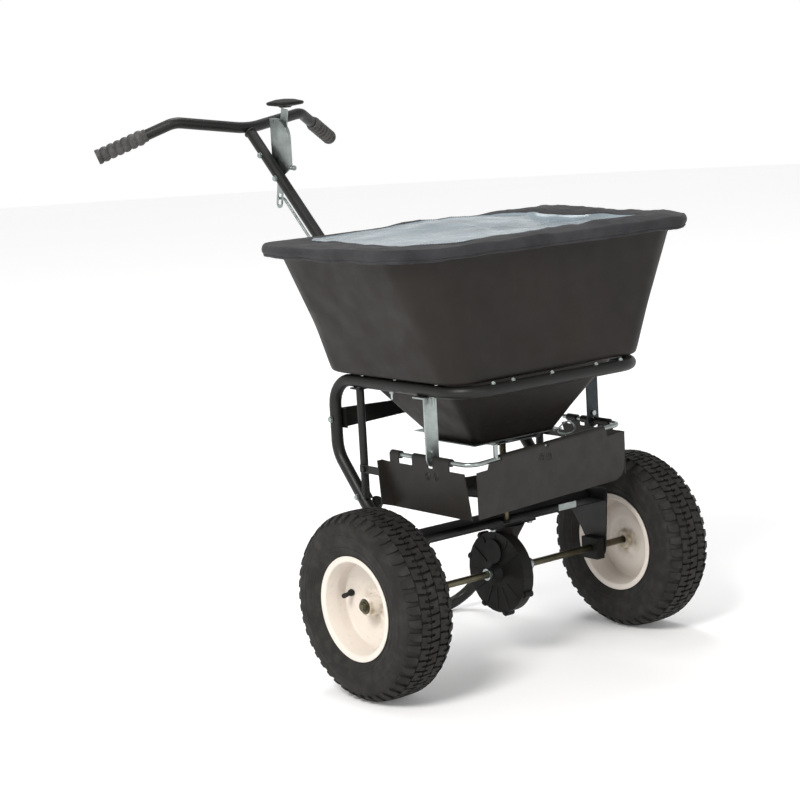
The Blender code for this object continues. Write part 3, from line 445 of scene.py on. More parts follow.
def turned(profile, place, axis, sides=64, closed=True):
    """Spin (along, radius) points round an axis through place."""
    made = bmesh.new()
    turn = Vector((0, 0, 1)).rotation_difference(Vector(axis)).to_matrix().to_4x4()
    loops = []
    for step in range(sides):
        angle = 2 * pi * step / sides
        loops.append([made.verts.new((r * cos(angle), r * sin(angle), a)) for a, r in profile])
    count = len(profile)
    last = count if closed else count - 1
    for one, two in zip(loops, loops[1:] + loops[:1]):
        for index in range(last):
            follow = (index + 1) % count
            made.faces.new((one[index], two[index], two[follow], one[follow]))
    bmesh.ops.remove_doubles(made, verts=made.verts, dist=ZERO_GAP)
    made.transform(Matrix.Translation(place) @ turn)
    return to_mesh(made)


def rounded_path(corners, radii, steps=8):
    """A path through corners, each one replaced by an arc of the given radius."""
    points = [corners[0]]
    for before, corner, after, radius in zip(corners, corners[1:], corners[2:], radii):
        into, out = (before - corner).normalized(), (after - corner).normalized()
        half = into.angle(out) / 2
        centre = corner + (into + out).normalized() * (radius / sin(half))
        first = corner + into * (radius * cos(half) / sin(half)) - centre
        last = corner + out * (radius * cos(half) / sin(half)) - centre
        sweep = first.angle(last)
        for step in range(steps + 1):
            share = step / steps
            arm = sin((1 - share) * sweep) * first + sin(share * sweep) * last
            points.append(centre + arm / sin(sweep))
    points.append(corners[-1])
    return points


def tube(path, radius, sides=28, closed=False, wave=None):
    """A round bar along a path. wave(index) scales the radius at each point."""
    made = bmesh.new()
    rings, side = [], None
    count = len(path)
    angles = [2 * pi * step / sides for step in range(sides)]
    for index, point in enumerate(path):
        before = path[(index - 1) % count] if closed else path[max(index - 1, 0)]
        after = path[(index + 1) % count] if closed else path[min(index + 1, count - 1)]
        along = (after - before).normalized()
        if side is None:
            side = along.orthogonal().normalized()
        side = (side - along * side.dot(along)).normalized()
        other = along.cross(side)
        reach = radius * (wave(index) if wave else 1.0)
        rings.append([made.verts.new(point + reach * (cos(a) * side + sin(a) * other)) for a in angles])
    pairs = list(zip(rings, rings[1:]))
    if closed:
        pairs.append((rings[-1], rings[0]))
    else:
        made.faces.new(rings[0][::-1])
        made.faces.new(rings[-1])
    for one, two in pairs:
        for step in range(sides):
            follow = (step + 1) % sides
            made.faces.new((one[step], one[follow], two[follow], two[step]))
    return to_mesh(made)


def hex_bolt(place, direction, radius=0.0052, height=0.0042, shank=0.0):
    """A hexagon head with a washer face and a domed top."""
    direction = Vector(direction).normalized()
    face, flange = 0.0012, radius * 1.15
    section = eased([(face, 0.0), (face, radius), (height, radius), (height, 0.0)], 0.0005, 1)
    head = turned(section, place, direction, 6, False)
    washer = turned([(0.0, 0.0), (0.0, flange), (face, flange), (face, 0.0)], place, direction, 24, False)
    parts = [head, washer]
    if shank:
        end, core = height + shank, radius * 0.55
        section = [(height, 0.0), (height, core), (end, core), (end, 0.0)]
        parts.append(turned(section, place, direction, 16, False))
    return gathered(parts)


def bead(path, radius, seed):
    """A weld bead: a lumpy round bar."""
    def lumps(index):
        return 1.0 + 0.28 * noise.noise(Vector((index * 0.9, seed, 0.3)))

    return tube(path, radius, 10, wave=lumps)


def plan_ring(half_width, front, rear, radius, height, steps=14, sides=7):
    """A rounded rectangle in plan with evenly spread points, from the axle along Y."""
    points = []
    corners = ((half_width - radius, rear - radius, 0), (radius - half_width, rear - radius, 90),
               (radius - half_width, front + radius, 180), (half_width - radius, front + radius, 270))
    for index, (x, y, start) in enumerate(corners):
        angles = [radians(start + 90 * step / steps) for step in range(steps + 1)]
        arc = [(x + radius * cos(angle), y + radius * sin(angle)) for angle in angles]
        points += arc
        nx, ny, next_start = corners[(index + 1) % 4]
        end = (nx + radius * cos(radians(next_start)), ny + radius * sin(radians(next_start)))
        for step in range(1, sides):
            share = step / sides
            points.append([one * (1 - share) + two * share for one, two in zip(arc[-1], end)])
    return [at(px, py, height) for px, py in points]


def loft(rings, closed=True):
    made = bmesh.new()
    loops = [[made.verts.new(point) for point in points] for points in rings]
    pairs = list(zip(loops, loops[1:]))
    if closed:
        pairs.append((loops[-1], loops[0]))
    for one, two in pairs:
        count = len(one)
        for step in range(count):
            follow = (step + 1) % count
            made.faces.new((one[step], one[follow], two[follow], two[step]))
    return to_mesh(made)


# ---------------------------------------------------------------- frame and handle
def frame_tube(node, path, black):
    """One tube of the frame or handle, in place of its CAD node."""
    new_piece(node + "_look", tube(path, TUBE), black, "frame", 50, stands_for=(node,))


def build_frame(black, zinc):
    right = [at(LOOP_SIDE, 0.040, 0.266), at(LOOP_SIDE, 0.120, 0.292), at(LOOP_SIDE, LOOP_REAR, 0.392),
             at(LOOP_SIDE, LOOP_REAR, LOOP_Z), at(LOOP_SIDE, LOOP_FRONT, LOOP_Z)]
    radii = (0.060, 0.060, 0.050, 0.060, 0.060, 0.050, 0.060, 0.060)
    frame_tube("main_frame", rounded_path(right + mirrored(right), radii), black)

    x = LOOP_SIDE - 2 * TUBE - 0.0005
    leg = [at(x, 0.126, 0.309), at(x, 0.340, TUBE)]
    frame_tube("rear_stand", rounded_path(leg + mirrored(leg), (0.070, 0.070)), black)

    grip_along = (GRIP_END - BAR_BEND).normalized()
    right = [GRIP_END - grip_along * 0.006, BAR_BEND]
    path = rounded_path(right + [BAR_MIDDLE] + mirrored(right), (0.045, 0.120, 0.045))
    frame_tube("handle_bar", path, black)

    low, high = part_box("handle_stem")
    slope = radians(44.6)
    down = Vector((0, -cos(slope), -sin(slope)))
    top = BAR_MIDDLE + down * (TUBE + 0.0006)
    foot = top + down * ((high.y - low.y) / cos(slope) - TUBE * 0.9)
    frame_tube("handle_stem", [top, foot], black)
    across = Vector((1, 0, 0))
    over = down.cross(across)
    angles = [2 * pi * step / 48 for step in range(49)]
    joint = [top + TUBE * 1.02 * (cos(a) * across + sin(a) * over) for a in angles]
    heel = [foot - down * 0.002 + TUBE * 1.04 * (cos(a) * across + sin(a) * over) for a in angles]
    welds = gathered([bead(joint, 0.0022, 1.0), bead(heel, 0.0024, 2.0)])
    new_piece("handle_welds", welds, black, "frame", 60)

    for name, s in (("left", -1), ("right", 1)):
        node = "brace_" + name
        low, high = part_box(node)
        x, y = s * LOOP_SIDE, (low.y + high.y) / 2 - 0.003
        round_bar = tube([Vector((x, y, low.z + 0.006)), Vector((x, y, high.z - 0.0015))], 0.0072)
        brace = gathered([to_mesh(welded(node)), round_bar])
        new_piece(node + "_look", brace, black, "frame", 40, stands_for=(node,))

    for node in ("rear_cross_bar", "lower_cross_bar", "axle_bracket_left", "axle_bracket_right", "stem_foot",
                 "panel_strap_left", "panel_strap_right"):
        refine(node, black, bevel=0.0009)

    screws = []
    crown, belly = LOOP_Z + TUBE - 0.0006, LOOP_Z - TUBE + 0.0006
    for x in (-0.150, -0.105, -0.015, 0.090, 0.150):
        place = at(x, LOOP_FRONT - TUBE * 0.2, crown)
        screws.append(hex_bolt(place, (0, 0, 1), 0.0036, 0.0036, 0.001))
    for y in (-0.080, 0.030, 0.120):
        for s in (-1, 1):
            place = at(s * LOOP_SIDE, y, crown)
            screws.append(hex_bolt(place, (0, 0, 1), 0.0036, 0.0036, 0.001))
            place = at(s * LOOP_SIDE, y + 0.012, belly)
            screws.append(hex_bolt(place, (0, 0, -1), 0.0042, 0.0040, 0.010))
    new_piece("loop_screws", gathered(screws), zinc, "frame", 40)


def build_bolts(zinc):
    for node, direction in (("rear_bar_bolt_left", -1), ("rear_bar_bolt_right", 1), ("stand_bolt_left", -1),
                            ("stand_bolt_right", 1), ("gauge_bolt_upper", -1), ("gauge_bolt_lower", -1)):
        low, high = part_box(node)
        place = (low + high) / 2
        place.x = high.x if direction < 0 else low.x
        new_piece(node + "_look", hex_bolt(place, (direction, 0, 0), 0.0052, high.x - low.x), zinc, "frame",
                  40, stands_for=(node,))


# ---------------------------------------------------------------- hopper
def build_hopper(plastic):
    """The moulding again, with round corners where its walls turn."""
    lip_z, top, wall = 0.759, 0.769, 0.0035
    floor = 0.5375
    # each level: half width, front, rear, corner radius, height
    outside = [(0.095, -0.040, 0.085, 0.015, 0.412),
               (0.186, -0.106, 0.180, 0.040, 0.530),
               (0.193, -0.128, 0.190, 0.045, floor),
               (0.2166, -0.136, 0.2116, 0.045, floor),
               (0.2260, -0.1455, 0.2210, 0.050, floor + 0.004),
               (0.2290, -0.1480, 0.2240, 0.052, floor + 0.012),
               (0.2610, -0.1490, 0.2200, 0.056, 0.625),
               (0.3270, -0.1540, 0.2290, 0.070, lip_z),
               (0.3480, -0.1700, 0.2450, 0.080, lip_z),
               (0.3490, -0.1710, 0.2460, 0.081, top)]
    inside = [(0.3270, -0.1540, 0.2290, 0.070, top),
              (0.3270, -0.1540, 0.2290, 0.070, lip_z),
              (0.2610, -0.1490, 0.2200, 0.056, 0.625),
              (0.2290, -0.1480, 0.2240, 0.052, floor + 0.012),
              (0.193, -0.128, 0.190, 0.045, floor + 0.004),
              (0.095, -0.040, 0.085, 0.015, 0.412)]
    rings = [plan_ring(*level) for level in eased(outside, 0.020, 4)]
    for half_width, front, rear, radius, height in eased(inside, 0.016, 3):
        corner = max(radius - wall, 0.004)
        rings.append(plan_ring(half_width - wall, front + wall, rear - wall, corner, height))
    new_piece("hopper_look", loft(rings), plastic, "frame", 45, stands_for=("hopper",))


# ---------------------------------------------------------------- rain cover
RIM_MIDDLE_Y = 0.0375       # middle of the hopper's mouth, from the axle
COVER_HALF_X, COVER_FRONT, COVER_REAR, COVER_CORNER = 0.3540, -0.1760, 0.2510, 0.084


BELL_BASE = 2.718           # about e

# Rings of the window as shares of the way to its edge, then rings of the border from there to the rim.
WINDOW_SHARES = (0.06, 0.15, 0.25, 0.35, 0.45, 0.55, 0.65, 0.75, 0.83, 0.90, 0.95, 0.985, 1.0)
BORDER_SHARES = (0.02, 0.05, 0.11, 0.20, 0.30, 0.40, 0.50, 0.60, 0.70, 0.78, 0.85, 0.91, 0.96)
# The hem's section: out from the rim, and up.
SKIRT = ((-0.0010, -0.0002), (0.0012, -0.0030), (0.0026, -0.0065), (0.0030, -0.0100), (0.0022, -0.0135),
         (0.0004, -0.0165), (-0.0030, -0.0190), (-0.0070, -0.0200))
SKIRT_TOP = 0.7765
STITCH_PITCH, STITCH_HALF = 0.0055, 0.0005


def ruffle(x, y, scale, seed):
    return noise.noise(Vector((x * scale, y * scale, seed)))


def bell(spread):
    """1 where spread is 0, falling away like a bell."""
    return BELL_BASE ** -spread


def limited(value):
    return max(0.0, min(1.0, value))


# How far the border swells, by its place round the cover in degrees from the right-hand side.
SWELLS = ((0, 0.010), (22, 0.014), (55, 0.007), (90, 0.007), (130, 0.002), (165, 0.005), (190, 0.004),
          (215, 0.002), (240, 0.006), (275, 0.010), (330, 0.011), (360, 0.010))


def swell(turn):
    for (start, low), (end, high) in zip(SWELLS, SWELLS[1:]):
        if start <= turn <= end:
            share = (turn - start) / (end - start)
            return low + (high - low) * share * share * (3 - 2 * share)
    return SWELLS[0][1]


def window_share(turn):
    """Where the window ends, as a share of the cover's outline; a fold hides its far right end."""
    fold = ((turn - 20.0) / 13.0) ** 2
    return 0.775 - 0.16 * bell(fold)


def cover_height(x, y, share, edge):
    """Height of the cover over its plan: bowed window, swollen border, flat again at the rim."""
    turn = atan2(y - RIM_MIDDLE_Y, x) * 180 / pi % 360
    inside = share / edge
    border = limited((inside - 0.93) / 0.16) * limited((1.03 - share) / 0.13)
    inner = limited((0.98 - share) / 0.25)
    bow = 0.013 * bell(((x - 0.03) / 0.17) ** 2 + ((y - 0.13) / 0.09) ** 2)
    sag = -0.007 * bell(((x - 0.20) / 0.10) ** 2 + ((y - 0.03) / 0.10) ** 2)
    folds = 0.0030 * ruffle(x * 0.5, y * 1.7, 11.0, 4.0) + 0.0020 * ruffle(x * 1.3, y * 0.7, 26.0, 9.0)
    puff = border * (swell(turn) + 0.0035 * ruffle(x, y, 12.0, 1.0) + 0.0030 * ruffle(x, y, 30.0, 2.0))
    creases = border * 0.0016 * ruffle(x, y, 80.0, 12.0)
    return 0.7735 + (bow + sag + folds) * inner + max(puff, 0.0008) + creases


def cover_rings(base):
    """The cover's rings from the middle of its window out over the rim and down to the hem."""
    centre = Vector((0.0, RIM_MIDDLE_Y, 0.0))
    count = len(base)
    window_rings = len(WINDOW_SHARES)
    turns = [atan2(point.y - RIM_MIDDLE_Y, point.x) * 180 / pi % 360 for point in base]
    edges = [window_share(turn) for turn in turns]
    binding = range(window_rings - 1, window_rings + 2)
    rings = []
    for level in range(window_rings + len(BORDER_SHARES)):
        points = []
        for point, edge in zip(base, edges):
            if level < window_rings:
                share = edge * WINDOW_SHARES[level]
            else:
                share = edge + (1.0 - edge) * BORDER_SHARES[level - window_rings]
            flat = centre + (point - centre) * share
            raise_by = 0.0012 if level in binding else 0.0
            points.append(at(flat.x, flat.y, cover_height(flat.x, flat.y, share, edge) + raise_by))
        rings.append(points)
    for level, (out, drop) in enumerate(SKIRT):
        points = []
        grip = level / (len(SKIRT) - 1)
        for index, point in enumerate(base):
            away = (base[(index + 1) % count] - base[index - 1]).cross(Vector((0, 0, 1))).normalized()
            coarse = ruffle(point.x, point.y, 42.0, 3.0) * 0.0024
            fine = ruffle(point.x, point.y, 95.0, 5.0) * 0.0020
            flat = point + away * (out + (coarse + fine) * (0.35 + 0.65 * grip))
            lift = 0.0028 * ruffle(point.x, point.y, 16.0, 7.0) * grip
            roll = 0.0030 * ruffle(point.x, point.y, 10.0, 8.0) * (1.0 - grip)
            points.append(at(flat.x, flat.y, SKIRT_TOP + drop + lift + max(roll, -0.001)))
        rings.append(points)
    return rings


def stitch_mesh(lines):
    """Short diamond bars laid end to end along closed lines."""
    made = bmesh.new()
    rise = Vector((0, 0, STITCH_HALF))
    for line in lines:
        for one, two in zip(line, line[1:] + line[:1]):
            pieces = max(1, round((two - one).length / STITCH_PITCH))
            for piece in range(pieces):
                start = one.lerp(two, (piece + 0.15) / pieces) + rise
                end = one.lerp(two, (piece + 0.75) / pieces) + rise
                along = (end - start).normalized()
                over = along.cross(Vector((0, 0, 1))).normalized() * STITCH_HALF
                ends = [[made.verts.new(p + d) for d in (over, rise, -over, -rise)] for p in (start, end)]
                for corner in range(4):
                    follow = (corner + 1) % 4
                    made.faces.new((ends[0][corner], ends[0][follow], ends[1][follow], ends[1][corner]))
                made.faces.new(ends[0][::-1])
                made.faces.new(ends[1])
    return to_mesh(made)


def build_cover(fabric, window_look, stitch_look):
    """Fitted cover: one sheet from the middle of its window out over the rim to the elastic hem."""
    outline = plan_ring(COVER_HALF_X, COVER_FRONT, COVER_REAR, COVER_CORNER, 0.0, 20, 26)
    base = [Vector((p.x, p.y - AXLE.y, 0.0)) for p in outline]
    rings = cover_rings(base)
    window_rings = len(WINDOW_SHARES)
    count = len(base)
    made = bmesh.new()
    loops = [[made.verts.new(point) for point in points] for points in rings]
    cap = made.faces.new(loops[0])
    cap.material_index = 1
    for level, (one, two) in enumerate(zip(loops, loops[1:])):
        for step in range(count):
            follow = (step + 1) % count
            face = made.faces.new((one[step], one[follow], two[follow], two[step]))
            face.material_index = 1 if level + 1 < window_rings else 0
    bmesh.ops.recalc_face_normals(made, faces=made.faces)
    if cap.normal.z < 0:
        bmesh.ops.reverse_faces(made, faces=made.faces)
    mesh = bpy.data.meshes.new("rain_cover_sheet")
    made.to_mesh(mesh)
    made.free()
    sheet = new_piece("rain_cover_sheet", mesh, None, "cover", 80,
                      stands_for=("rain_cover",))
    mesh.materials.append(fabric)
    mesh.materials.append(window_look)

    hem_path = rings[-2]

    def gathers(index):
        return 1.0 + 0.30 * ruffle(hem_path[index].x, hem_path[index].y, 110.0, 2.0)

    hem_bar = tube(hem_path, 0.0030, 10, True, gathers)
    hem = new_piece("cover_hem", hem_bar, fabric, "cover", 80)
    seams = stitch_mesh(rings[window_rings + 1:window_rings + 3])
    thread = new_piece("cover_stitches", seams, stitch_look, "cover", 80)


# ---------------------------------------------------------------- wheels
TREAD_DEPTH = 0.0048
BLOCK_ROUND = 44            # blocks round the tyre
RIM_SHOULDER = 0.0425
VALVE_ANGLE = radians(9)


def tread_surface(share):
    """Distance along and radius of the tyre's crown, for a lateral place from -1 to 1."""
    place = abs(share)
    along = share * (TYRE_HALF - 0.0045)
    crown = 0.0008 * (place / 0.5) ** 2
    shoulder = 0.0105 * max(0.0, (place - 0.55) / 0.45) ** 1.7
    return along, TYRE_RADIUS - 0.0005 - crown - shoulder


def carcass_mesh():
    """The tyre under its blocks: bead, side wall with two fine ribs, and crown."""
    half = TYRE_HALF
    crown = [tread_surface(step / 12 - 1.0) for step in range(25)]
    crown = [(along, radius - TREAD_DEPTH) for along, radius in crown]
    wall = [(0.0400, 0.0850), (0.0412, 0.0905), (0.0425, 0.0930),
            (half - 0.0075, 0.0985), (half - 0.0042, 0.1040), (half - 0.0038, 0.1056),
            (half - 0.0030, 0.1062), (half - 0.0030, 0.1078), (half - 0.0034, 0.1084),
            (half - 0.0012, 0.1150), (half - 0.0006, 0.1265), (half - 0.0002, 0.1270),
            (half - 0.0002, 0.1282), (half - 0.0006, 0.1287), (half - 0.0012, 0.1380),
            (half - 0.0030, 0.1455)]
    outer = [(-along, radius) for along, radius in wall] + crown[1:-1] + wall[::-1]
    inner = [(0.0340, 0.0850), (0.0330, 0.0980), (0.0350, 0.1280), (0.0, 0.1480),
             (-0.0350, 0.1280), (-0.0330, 0.0980), (-0.0340, 0.0850)]
    return turned(eased(outer, 0.0025, 2) + inner, (0, 0, 0), (1, 0, 0), 128)


def tyre_mesh():
    """Carcass and five rows of interlocking blocks, with the axis along +X through the origin."""
    made = bmesh.new()
    made.from_mesh(carcass_mesh())
    pitch = 2 * pi / BLOCK_ROUND
    hook = [(-0.5, -0.46), (0.34, -0.50), (0.50, -0.34), (0.44, -0.14), (0.10, -0.12), (0.06, 0.10),
            (0.46, 0.14), (0.50, 0.36), (0.32, 0.48), (-0.5, 0.44), (-0.42, 0.0)]
    lug = [(-0.5, -0.30), (0.46, -0.40), (0.5, 0.30), (-0.1, 0.38), (-0.5, 0.26)]
    # each row: middle and half width across the tread, block outline, which way it faces, stagger
    rows = [(-0.42, 0.19, hook, 1, 0.0), (-0.02, 0.19, hook, -1, 0.5), (0.38, 0.19, hook, 1, 0.0),
            (-0.80, 0.17, lug, 1, 0.5), (0.78, 0.17, lug, -1, 0.5)]
    for centre, half_row, outline, flip, phase in rows:
        for index in range(BLOCK_ROUND):
            low_ring, high_ring = [], []
            middle_angle = (index + phase) * pitch
            for u, v in outline:
                share = centre + 2 * half_row * u * flip
                angle = (index + phase + v * flip * 0.90 + 0.05 * sin(3.0 * u)) * pitch
                along, radius = tread_surface(max(-1.0, min(1.0, share)))
                base = radius - TREAD_DEPTH - 0.001
                for ring, inset, narrow, level in ((low_ring, 1.0, 1.0, base),
                                                   (high_ring, 0.955, 0.9985, radius)):
                    turn = middle_angle + (angle - middle_angle) * inset
                    ring.append(made.verts.new((along * narrow, level * cos(turn), level * sin(turn))))
            size = len(outline)
            for corner in range(size):
                follow = (corner + 1) % size
                made.faces.new((low_ring[corner], low_ring[follow], high_ring[follow], high_ring[corner]))
            made.faces.new(high_ring)
            made.faces.new(low_ring[::-1])
    return to_mesh(made)


def rim_mesh(sign):
    """Two pressed halves and a hub tube, spun from one eased section; sign is +1 where +X is outside."""
    hub, bore = 0.0200, 0.0068
    section = [(RIM_HALF, RIM_LIP), (RIM_SHOULDER, RIM_LIP), (0.0415, 0.0830), (0.0200, 0.0780),
               (-0.0200, 0.0780), (-0.0415, 0.0830), (-RIM_SHOULDER, RIM_LIP), (-RIM_HALF, RIM_LIP),
               (-0.0437, 0.0810), (-0.0210, 0.0755), (-0.0010, 0.0755), (-0.0070, 0.0600),
               (-0.0100, 0.0450), (-0.0100, 0.0180), (-hub, 0.0165), (-hub, bore),
               (hub, bore), (hub, 0.0165), (-0.0060, 0.0180), (-0.0070, 0.0440),
               (-0.0040, 0.0600), (0.0020, 0.0755), (0.0210, 0.0755), (0.0437, 0.0810)]
    start = section[-1:] + section + section[:1]
    rounded = eased(start, 0.0030, 4)[1:-1]
    return turned(rounded, (0, 0, 0), (sign, 0, 0), 96)


def build_wheels(rubber_look, paint, bearing):
    ring_section = eased([(0.0150, 0.0072), (0.0204, 0.0072), (0.0204, 0.0136), (0.0150, 0.0136)], 0.0008, 2)
    valve_section = eased([(-0.002, 0.0), (-0.002, 0.0062), (0.0030, 0.0060), (0.0060, 0.0042),
                           (0.0150, 0.0036), (0.0155, 0.0042), (0.0235, 0.0042), (0.0245, 0.0)], 0.0006, 2)
    for name, s, body in (("left", -1, "axle"), ("right", 1, "right_wheel")):
        centre = Vector((s * TRACK, AXLE.y, AXLE.z))
        tyre = tyre_mesh()
        tyre.transform(Matrix.Translation(centre) @ Matrix.Rotation(0.07 * s, 4, "X"))
        new_piece("tyre_%s_look" % name, tyre, rubber_look, body, 38,
                  stands_for=("tyre_" + name,))
        rim = rim_mesh(s)
        rim.transform(Matrix.Translation(centre))
        new_piece("rim_%s_look" % name, rim, paint, body, 50, stands_for=("rim_" + name,))
        ring = turned(ring_section, centre, (s, 0, 0), 40)
        new_piece("hub_bearing_" + name, ring, bearing, body, 40)
        base, tip = valve_ends(s)
        valve = turned(valve_section, base, (tip - base).normalized(), 24, False)
        new_piece("valve_%s_look" % name, valve, rubber_look, body, 40,
                  stands_for=("valve_" + name,))


def valve_ends(s):
    """Foot and tip of the valve, square on the sloping face of the wheel disc."""
    ends = []
    for out in (0.0004, 0.0244):
        along = -0.0013 + 0.961 * out
        radius = 0.0640 - 0.275 * out
        y, z = AXLE.y + radius * cos(VALVE_ANGLE), AXLE.z + radius * sin(VALVE_ANGLE)
        ends.append(Vector((s * (TRACK + along), y, z)))
    return ends


# ---------------------------------------------------------------- grips, lever and drive
def build_grips(look):
    length = 0.106
    along = (GRIP_END - BAR_BEND).normalized()
    start = GRIP_END - along * length
    profile = [(length, 0.0), (length, 0.0145), (length - 0.004, 0.0153), (length - 0.009, 0.0142)]
    ribs = 6
    pitch = (length - 0.018) / ribs
    for index in range(ribs):
        top = length - 0.010 - index * pitch
        for step in range(9):
            share = step / 8
            profile.append((top - share * pitch, 0.0124 + 0.0028 * sin(pi * share) ** 0.7))
    profile += [(0.003, 0.0128), (0.0, 0.0122), (0.0, 0.0113), (0.004, 0.0112)]
    for name, sign in (("right", 1), ("left", -1)):
        place = Vector((start.x * sign, start.y, start.z))
        way = Vector((along.x * sign, along.y, along.z))
        new_piece("grip_%s_look" % name, turned(profile, place, way, 48, False), look, "frame",
                  60, stands_for=("grip_" + name,))


def build_control(zinc, plastic):
    low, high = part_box("lever_knob")
    place = (low + high) / 2
    place.z = low.z
    tall = high.z - low.z
    reach = (high.x - low.x) / 2
    profile = [(0.0, 0.0), (0.0, 0.0110), (0.0024, 0.0130), (0.0055, reach * 0.92), (0.0085, reach),
               (0.0118, reach * 0.96), (tall - 0.0012, 0.0180), (tall, 0.0)]
    knob = turned(eased(profile, 0.003, 4), place, (0, 0, 1), 64, False)
    new_piece("lever_knob_look", knob, plastic, "lever_arm", 60,
              stands_for=("lever_knob",))
    for node in ("gauge_plate", "lever", "lever_pivot_bolt", "stop_screw"):
        refine(node, zinc, bevel=0.0005)

    low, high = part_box("control_rod")
    radius = 0.003
    x, near = high.x - radius, low.x
    top_y, top_z = high.y - radius, high.z - radius
    flat_z = low.z + radius
    bend_y = top_y - (top_z - flat_z)
    corners = [Vector((near, top_y, top_z)), Vector((x, top_y, top_z)), Vector((x, bend_y, flat_z)),
               Vector((x, low.y, flat_z))]
    rod = tube(rounded_path(corners, (0.0060, 0.030), 8), radius, 16)
    new_piece("control_rod_look", rod, zinc, "shutoff_gate", 50, stands_for=("control_rod",))


def build_deflector(sheet_look, zinc, zinc_painted_shade):
    corners = [at(-LOOP_SIDE, 0.052, ROD_Z), at(-LOOP_SIDE, -0.157, ROD_Z),
               at(LOOP_SIDE, -0.085, ROD_Z), at(LOOP_SIDE, 0.062, ROD_Z)]
    along = (corners[2] - corners[1]).normalized()
    foot = corners[1] + along * 0.066
    stub = tube([foot, foot + Vector((0, 0, 0.026))], 0.004, 16)
    rod = gathered([tube(rounded_path(corners, (0.022, 0.022), 10), 0.004, 18), stub])
    new_piece("deflector_rod_look", rod, zinc, "frame", 50, stands_for=("deflector_rod",))
    for node in ("side_panel_left", "side_panel_right", "front_panel"):
        refine(node, sheet_look, smooth=40, bevel=0.0004)
    # The right hanger takes the darkened copy of the zinc: painted shade
    refine("rod_hanger_right", zinc_painted_shade, bevel=0.0005)
    for node in ("rod_hanger_left", "hanger_bolt_left", "hanger_bolt_right", "plain_tab"):
        refine(node, zinc, bevel=0.0005)

    outward = along.cross(Vector((0, 0, 1)))
    face = corners[1] + outward * (0.0058 + 0.0010)
    marks = []
    for reach, drop in ((0.184, -0.017), (0.206, -0.020)):
        marks.append(punch(face + along * reach + Vector((0, 0, drop)), outward))
    new_piece("front_panel_punches", gathered(marks), sheet_look, "front_deflector", 40)
    marks = []
    for y, drop in ((-0.072, -0.026), (-0.050, -0.028)):
        marks.append(punch(at(-LOOP_SIDE - 0.0068, y, ROD_Z + drop), Vector((-1, 0, 0))))
        marks.append(punch(at(LOOP_SIDE + 0.0068, y + 0.03, ROD_Z + drop), Vector((1, 0, 0))))
    new_piece("side_panel_punches", gathered(marks), sheet_look, "frame", 40)

    low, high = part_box("outlet_floor")
    eye = Vector((0.132, low.y + 0.018, high.z - 0.006))
    wire = 0.0014
    circle = []
    for step in range(40):
        x, z = 0.020 * cos(2 * pi * step / 40), 0.011 * sin(2 * pi * step / 40)
        circle.append(eye + Vector((x, 0.0035 * sin(4 * pi * step / 40), z)))
    tail = tube([Vector((high.x - 0.004, eye.y, eye.z)), eye + Vector((-0.019, 0, 0))], wire, 10)
    ring = gathered([tube(circle, wire, 10, True), tail])
    new_piece("outlet_wire_loop", ring, zinc, "frame", 50)


def punch(place, outward):
    """A pressed ring round a rivet head, as a formed latch leaves."""
    profile = eased([(-0.0004, 0.0075), (0.0012, 0.0062), (0.0012, 0.0046), (-0.0002, 0.0040),
                     (0.0008, 0.0022), (0.0014, 0.0)], 0.0006, 2)
    return turned(profile, place, outward, 28, False)


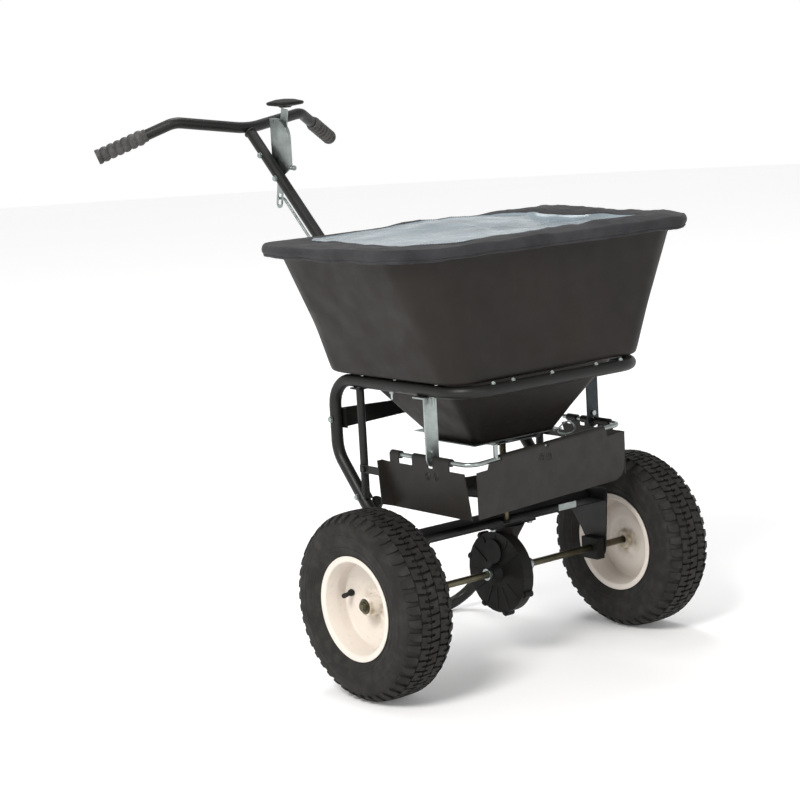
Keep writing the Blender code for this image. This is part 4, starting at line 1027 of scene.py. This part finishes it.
def build_drive(plastic, steel, zinc):
    for node in ("gearbox_upper", "gearbox_lower"):
        refine(node, plastic, smooth=30, bevel=0.0008)
    for node in ("axle_bearing_left", "axle_bearing_right", "crown_gear", "spinner"):
        refine(node, plastic, smooth=30, bevel=0.0005)
    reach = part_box("drive_axle")[1].x
    radius = 0.00635
    profile = [(-reach, 0.0), (-reach, radius - 0.0008), (-reach + 0.0012, radius), (reach - 0.0012, radius),
               (reach, radius - 0.0008), (reach, 0.0)]
    axle = turned(profile, AXLE, (1, 0, 0), 40, False)
    new_piece("drive_axle_look", axle, steel, "axle", 50, stands_for=("drive_axle",))
    for node in ("axle_clip_left", "axle_clip_right", "vertical_shaft", "pinion"):
        refine(node, steel, bevel=0.0004)
    for node in ("axle_collar_left", "axle_collar_right", "outlet_floor", "gate", "agitator"):
        refine(node, zinc, bevel=0.0004)

    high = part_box("gearbox_upper")[1]
    bolts = []
    for s in (-1, 1):
        for y in (-0.014, 0.014):
            bolts.append(hex_bolt(at(s * 0.044, y, high.z - 0.0046), (0, 0, -1), 0.0050, 0.0045))
    new_piece("gearbox_flange_bolts", gathered(bolts), zinc, "frame", 40)
    ribs = []
    face = -0.0288
    inner, outer = 0.030, 0.068
    for turn in (35, 62, 90, 118, 145, 215, 245, 270, 295, 325):
        y, z = cos(radians(turn)), sin(radians(turn))
        path = [at(face, inner * y, AXLE.z + inner * z), at(face, outer * y, AXLE.z + outer * z)]
        ribs.append(tube(path, 0.0016, 10))
    new_piece("gearbox_ribs", gathered(ribs), plastic, "frame", 50)


build_camera()
build_studio()
BLACK = powder_coat("black_powder_coat", srgb(21, 21, 20))
SHEET = powder_coat("charcoal_sheet_coat", srgb(28, 25, 22), (0.42, 0.56))
ZINC = zinc_plate("bright_zinc", srgb(158, 166, 164))
# The same zinc plate as the bright zinc, darkened and rougher for the right rod hanger: painted shade
ZINC_PAINTED_SHADE = zinc_plate("shaded_zinc", srgb(62, 66, 68), (0.42, 0.60))
STEEL = zinc_plate("yellow_zinc", srgb(100, 96, 79), (0.32, 0.54))
PLASTIC = moulded("hopper_plastic", srgb(28, 24, 21))
NYLON = moulded("nylon", srgb(14, 13, 11), (0.50, 0.66), 1400.0, 0.0003)
TYRE = rubber("tyre_rubber", srgb(33, 32, 30))
GRIP = rubber("grip_rubber", srgb(60, 59, 58), (0.45, 0.62), 1500.0)
PAINT = wheel_paint("cream_wheel_paint")
FABRIC = cloth("cover_fabric", srgb(44, 44, 46))
WINDOW = vinyl("cover_vinyl", srgb(128, 143, 151))
THREAD = cloth("cover_thread", srgb(70, 70, 73))
build_frame(BLACK, ZINC)
build_bolts(ZINC)
build_hopper(PLASTIC)
build_cover(FABRIC, WINDOW, THREAD)
build_wheels(TYRE, PAINT, STEEL)
build_grips(GRIP)
build_control(ZINC, NYLON)
build_deflector(SHEET, ZINC, ZINC_PAINTED_SHADE)
build_drive(NYLON, STEEL, ZINC)
